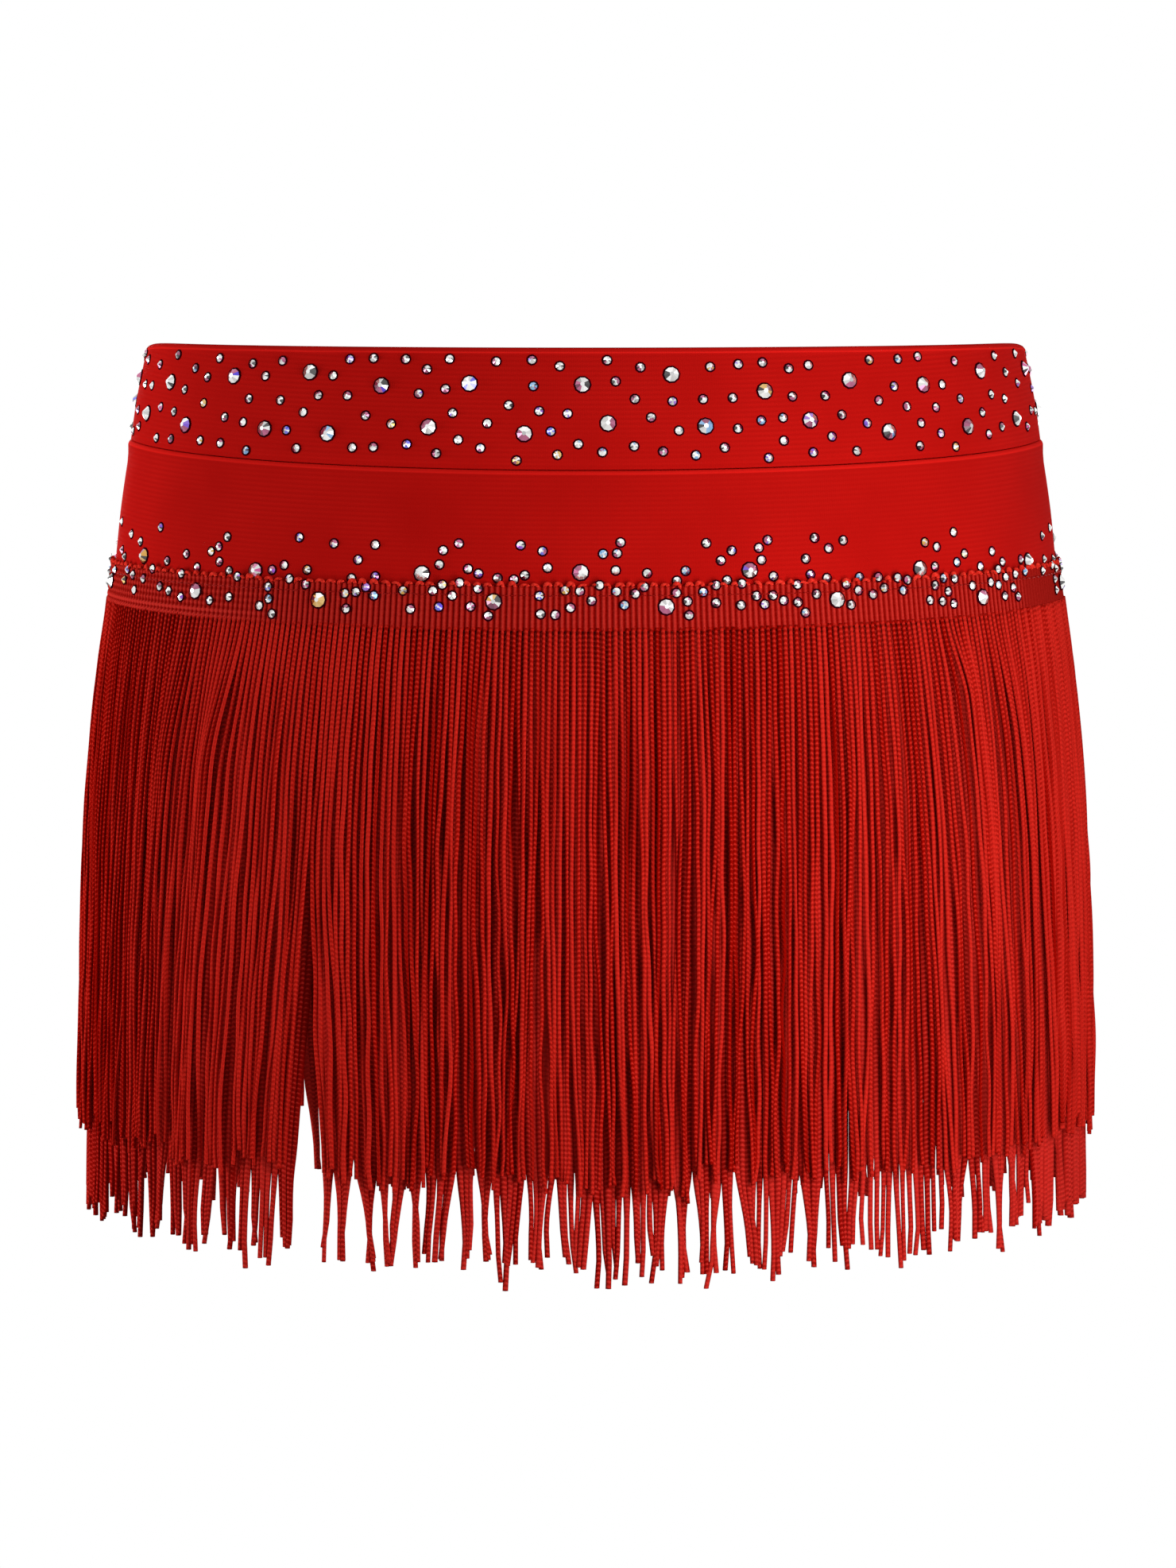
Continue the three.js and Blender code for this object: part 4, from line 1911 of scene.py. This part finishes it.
        # the painted reflections turn with each stone, and the dark wedge is set by which side of
        # the half's middle it lies on
        to_middle = np.where(length < FORM.total(half) / 2, 0.0, math.pi)
        colours = [
            self.glass.facet_colours(draw, facing + turned, normals[:, 2])
            for turned in spin - to_middle
        ]
        sizes = [len(face) for face in proto.faces]
        attribute = mesh.attributes.new("facet", "FLOAT_COLOR", "CORNER")
        attribute.data.foreach_set("color", np.repeat(colours, sizes, axis=1).reshape(-1))
        return hold(put_in_scene(mesh, bpy.data.materials[self.glass.name]), "rhinestones")

    def build(self) -> list[Piece]:
        """Makes all the stones.

        Returns:
            Four pieces: the band's and the header's stones, before and behind.
        """
        self.glass.build()
        made = []
        for half in Half:
            band, hem = self.band_stones(half), self.hem_stones(half)
            made.append(self.build_group(f"band_stones_{half.value}", half, band))
            made.append(self.build_group(f"hem_stones_{half.value}", half, hem))
        return made


@dataclass(frozen=True)
class SoftBox:
    """A soft light: its middle in metres, its width and height in metres, and its power."""

    name: str
    place: tuple[float, float, float]
    size: tuple[float, float]
    watts: float


@dataclass(frozen=True)
class Studio:
    """The photograph's camera, soft lights and a plain pale floor."""

    photo_width: int = 1480
    photo_height: int = 1973
    distance: float = 2.2
    pixels_per_mm: float = 3.6
    waist_row: float = 430.0
    middle_column: float = 737.0
    sensor_mm: float = 36.0
    clip_end: float = 200.0
    floor_drop: float = 2.3
    floor_reach: float = 60.0
    floor_paint: str = "#E6E6E6"
    ambient: float = 0.22
    mirrored: float = 1.3
    boxes: tuple[SoftBox, ...] = (
        SoftBox("key_strip", (0.25, -0.43, -0.14), (0.2, 0.5), 1.6),
        SoftBox("left_strip", (-0.75, -0.08, -0.12), (0.2, 0.6), 2.9),
        SoftBox("back_strip", (-0.25, 0.5, -0.14), (0.2, 0.5), 1.3),
        SoftBox("back_fill", (0.75, 0.35, -0.05), (0.2, 0.6), 1.4),
    )

    def camera(self) -> None:
        """Adds the camera, level with the waist and turned down a little."""
        focal_pixels = self.pixels_per_mm * self.distance / MM
        data = bpy.data.cameras.new("photo_camera")
        data.sensor_fit = "AUTO"
        data.sensor_width = self.sensor_mm
        data.lens = focal_pixels / self.photo_height * self.sensor_mm
        data.shift_x = (self.photo_width / 2 - self.middle_column) / self.photo_height
        data.clip_end = self.clip_end
        camera = bpy.data.objects.new("photo_camera", data)
        camera.location = (0, -self.distance, 0)
        pitch = math.atan((self.photo_height / 2 - self.waist_row) / focal_pixels)
        camera.rotation_euler = (math.pi / 2 - pitch, 0, 0)
        bpy.context.scene.collection.objects.link(camera)
        bpy.context.scene.camera = camera

    def light(self, box: SoftBox) -> None:
        """Adds a soft light that faces the skirt and doesn't show itself.

        Args:
            box: the light.
        """
        data = bpy.data.lights.new(box.name, "AREA")
        data.shape = "RECTANGLE"
        data.size, data.size_y = box.size
        data.energy = box.watts
        lamp = bpy.data.objects.new(box.name, data)
        lamp.location = box.place
        aim = Vector((0, 0, box.place[2])) - Vector(box.place)
        lamp.rotation_euler = aim.to_track_quat("-Z", "Y").to_euler()
        lamp.visible_camera = False
        bpy.context.scene.collection.objects.link(lamp)

    def white_to_camera(self, tree: Tree, kind: str, others: Node, mirrored: bool) -> Node:
        """Shows a surface or the world as plain white, and lights the skirt with another shader.

        Args:
            tree: the stage's node tree.
            kind: the white shader's node type.
            others: the shader that every other ray meets.
            mirrored: whether the stones' mirrors see the white too.

        Returns:
            The mixed shader.
        """
        path = add_node(tree, "LightPath")
        seen = path.outputs["Is Camera Ray"]
        if mirrored:
            seen = add_node(tree, "Math", seen, path.outputs["Is Glossy Ray"], operation="MAXIMUM")
        white = add_node(tree, kind, (1, 1, 1, 1), 1.0)
        return add_node(tree, "MixShader", seen, others, white)

    def floor(self) -> None:
        """Adds a wide pale floor well below the hem."""
        base = bmesh.new()
        bmesh.ops.create_grid(base, x_segments=1, y_segments=1, size=self.floor_reach)
        bmesh.ops.translate(base, verts=base.verts, vec=(0, 0, -self.floor_drop))
        mesh = bpy.data.meshes.new("studio_floor")
        base.to_mesh(mesh)
        base.free()
        material = bpy.data.materials.new("pale_floor")
        material.use_nodes = True
        tree = material.node_tree
        tree.nodes.clear()
        paint = add_node(tree, "BsdfDiffuse", linear(self.floor_paint))
        add_node(tree, "OutputMaterial", self.white_to_camera(tree, "Emission", paint, True))
        put_in_scene(mesh, material)

    def world(self) -> None:
        """Adds an even white surrounding: dim as light, bright in the stones' reflections."""
        world = bpy.data.worlds.new("pale_studio")
        world.use_nodes = True
        tree = world.node_tree
        tree.nodes.clear()
        glossy = add_node(tree, "LightPath").outputs["Is Glossy Ray"]
        extra = self.mirrored - self.ambient
        strength = add_node(tree, "Math", glossy, extra, self.ambient, operation="MULTIPLY_ADD")
        glow = add_node(tree, "Background", (1, 1, 1, 1), strength)
        add_node(tree, "OutputWorld", self.white_to_camera(tree, "Background", glow, False))
        bpy.context.scene.world = world

    def build(self) -> None:
        """Adds the whole studio, and a plain rendering of its colours."""
        self.camera()
        self.floor()
        self.world()
        for box in self.boxes:
            self.light(box)
        settings = bpy.context.scene.view_settings
        settings.view_transform = "Standard"
        settings.look = "None"


# The first two rows only paint light on the strands: a painted highlight at -114, and painted shade
# at 12.
BUNCHES = (
    Bunch(Half.FRONT, place=-114, spread=24, shift=0.0, reach=0.3, lift=0.0, painted_light=0.3),
    Bunch(Half.FRONT, place=12, spread=48, shift=0.0, reach=0.3, lift=0.0, painted_light=-0.14),
    Bunch(Half.FRONT, place=-128, spread=24, shift=-2.4, reach=0.3, lift=0.0),
    Bunch(Half.FRONT, place=-121, spread=5, shift=-3.4, reach=0.28, lift=0.9),
    Bunch(Half.FRONT, place=-143, spread=6, shift=-2.8, reach=0.32, lift=0.8),
    Bunch(Half.FRONT, place=-62, spread=5, shift=1.6, reach=0.4, lift=0.4),
    Bunch(Half.FRONT, place=-33, spread=4, shift=-1.5, reach=0.25, lift=0.5),
    Bunch(Half.FRONT, place=38, spread=5, shift=1.4, reach=0.35, lift=0.4),
    Bunch(Half.FRONT, place=129, spread=5, shift=3.4, reach=0.16, lift=1.4),
    Bunch(Half.FRONT, place=150, spread=7, shift=3.0, reach=0.25, lift=0.6),
    Bunch(Half.BACK, place=-96, spread=6, shift=-5.0, reach=0.25, lift=1.0),
    Bunch(Half.BACK, place=-20, spread=5, shift=2.0, reach=0.4, lift=0.4),
    Bunch(Half.BACK, place=60, spread=6, shift=4.0, reach=0.3, lift=0.8),
    Bunch(Half.BACK, place=150, spread=7, shift=5.0, reach=0.22, lift=1.1),
)


def header_tapes() -> list[HeaderTape]:
    """Sets out the two woven headers.

    Returns:
        The outer fringe's header, on the yoke, and the under fringe's, inside it.
    """
    outer = HeaderTape(
        name="header_tape",
        node="fringe_outer",
        near_offset=0.42,
        out=1,
        seed=5,
    )
    under = HeaderTape(
        name="under_tape",
        node="fringe_under",
        near_offset=-1.82,
        out=-1,
        seed=6,
        columns_a_strand=3,
        rows_a_weft=1,
    )
    return [outer, under]


def fringes() -> list[Fringe]:
    """Sets out the two rings of strands.

    Returns:
        The short outer ring, and the long one under it.
    """
    outer = Fringe(
        name="outer_strands",
        node="fringe_outer",
        slot="outer_fringe",
        hem="short_hem",
        seed=21,
        finish=Chainette("outer_chainette"),
        offsets=(1.1, 0.7, 0.7),
        bunches=BUNCHES,
    )
    under = Fringe(
        name="under_strands",
        node="fringe_under",
        slot="under_fringe",
        hem="long_hem",
        seed=22,
        finish=Chainette("under_chainette", light="#DE3028", dark="#9A0C06"),
        offsets=(-2.5, -3.0, -1.9),
        stagger=0.5,
        sides=5,
        rings=48,
        width=1.85,
        thickness=1.7,
        root_width=2.8,
        root_until=(0.84, 0.905),
        part_from=0.42,
        closed_below=4.0,
        joined_tips=0.2,
        tip_hook=0.7,
        clump_sizes=(2, 6),
        body_pull=0.0,
        tip_pull=0.6,
        pull_from=0.82,
        pull_until=0.95,
        clump_lean=1.3,
        lean_from=0.85,
        strand_lean=0.6,
        ragged_clump=4.5,
        wander=0.15,
        twist=0.3,
        shaded=0.1,
    )
    return [outer, under]


def main() -> None:
    """Builds the skirt and its studio in order, and reports each piece."""
    logging.basicConfig(level=logging.INFO, format="%(message)s")
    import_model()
    Studio().build()
    made = ClothPieces().build()
    for assembly in (*header_tapes(), *fringes(), Seams(), Stones()):
        made += assembly.build()
    for piece in made:
        report(piece)


if __name__ == "__main__":
    main()
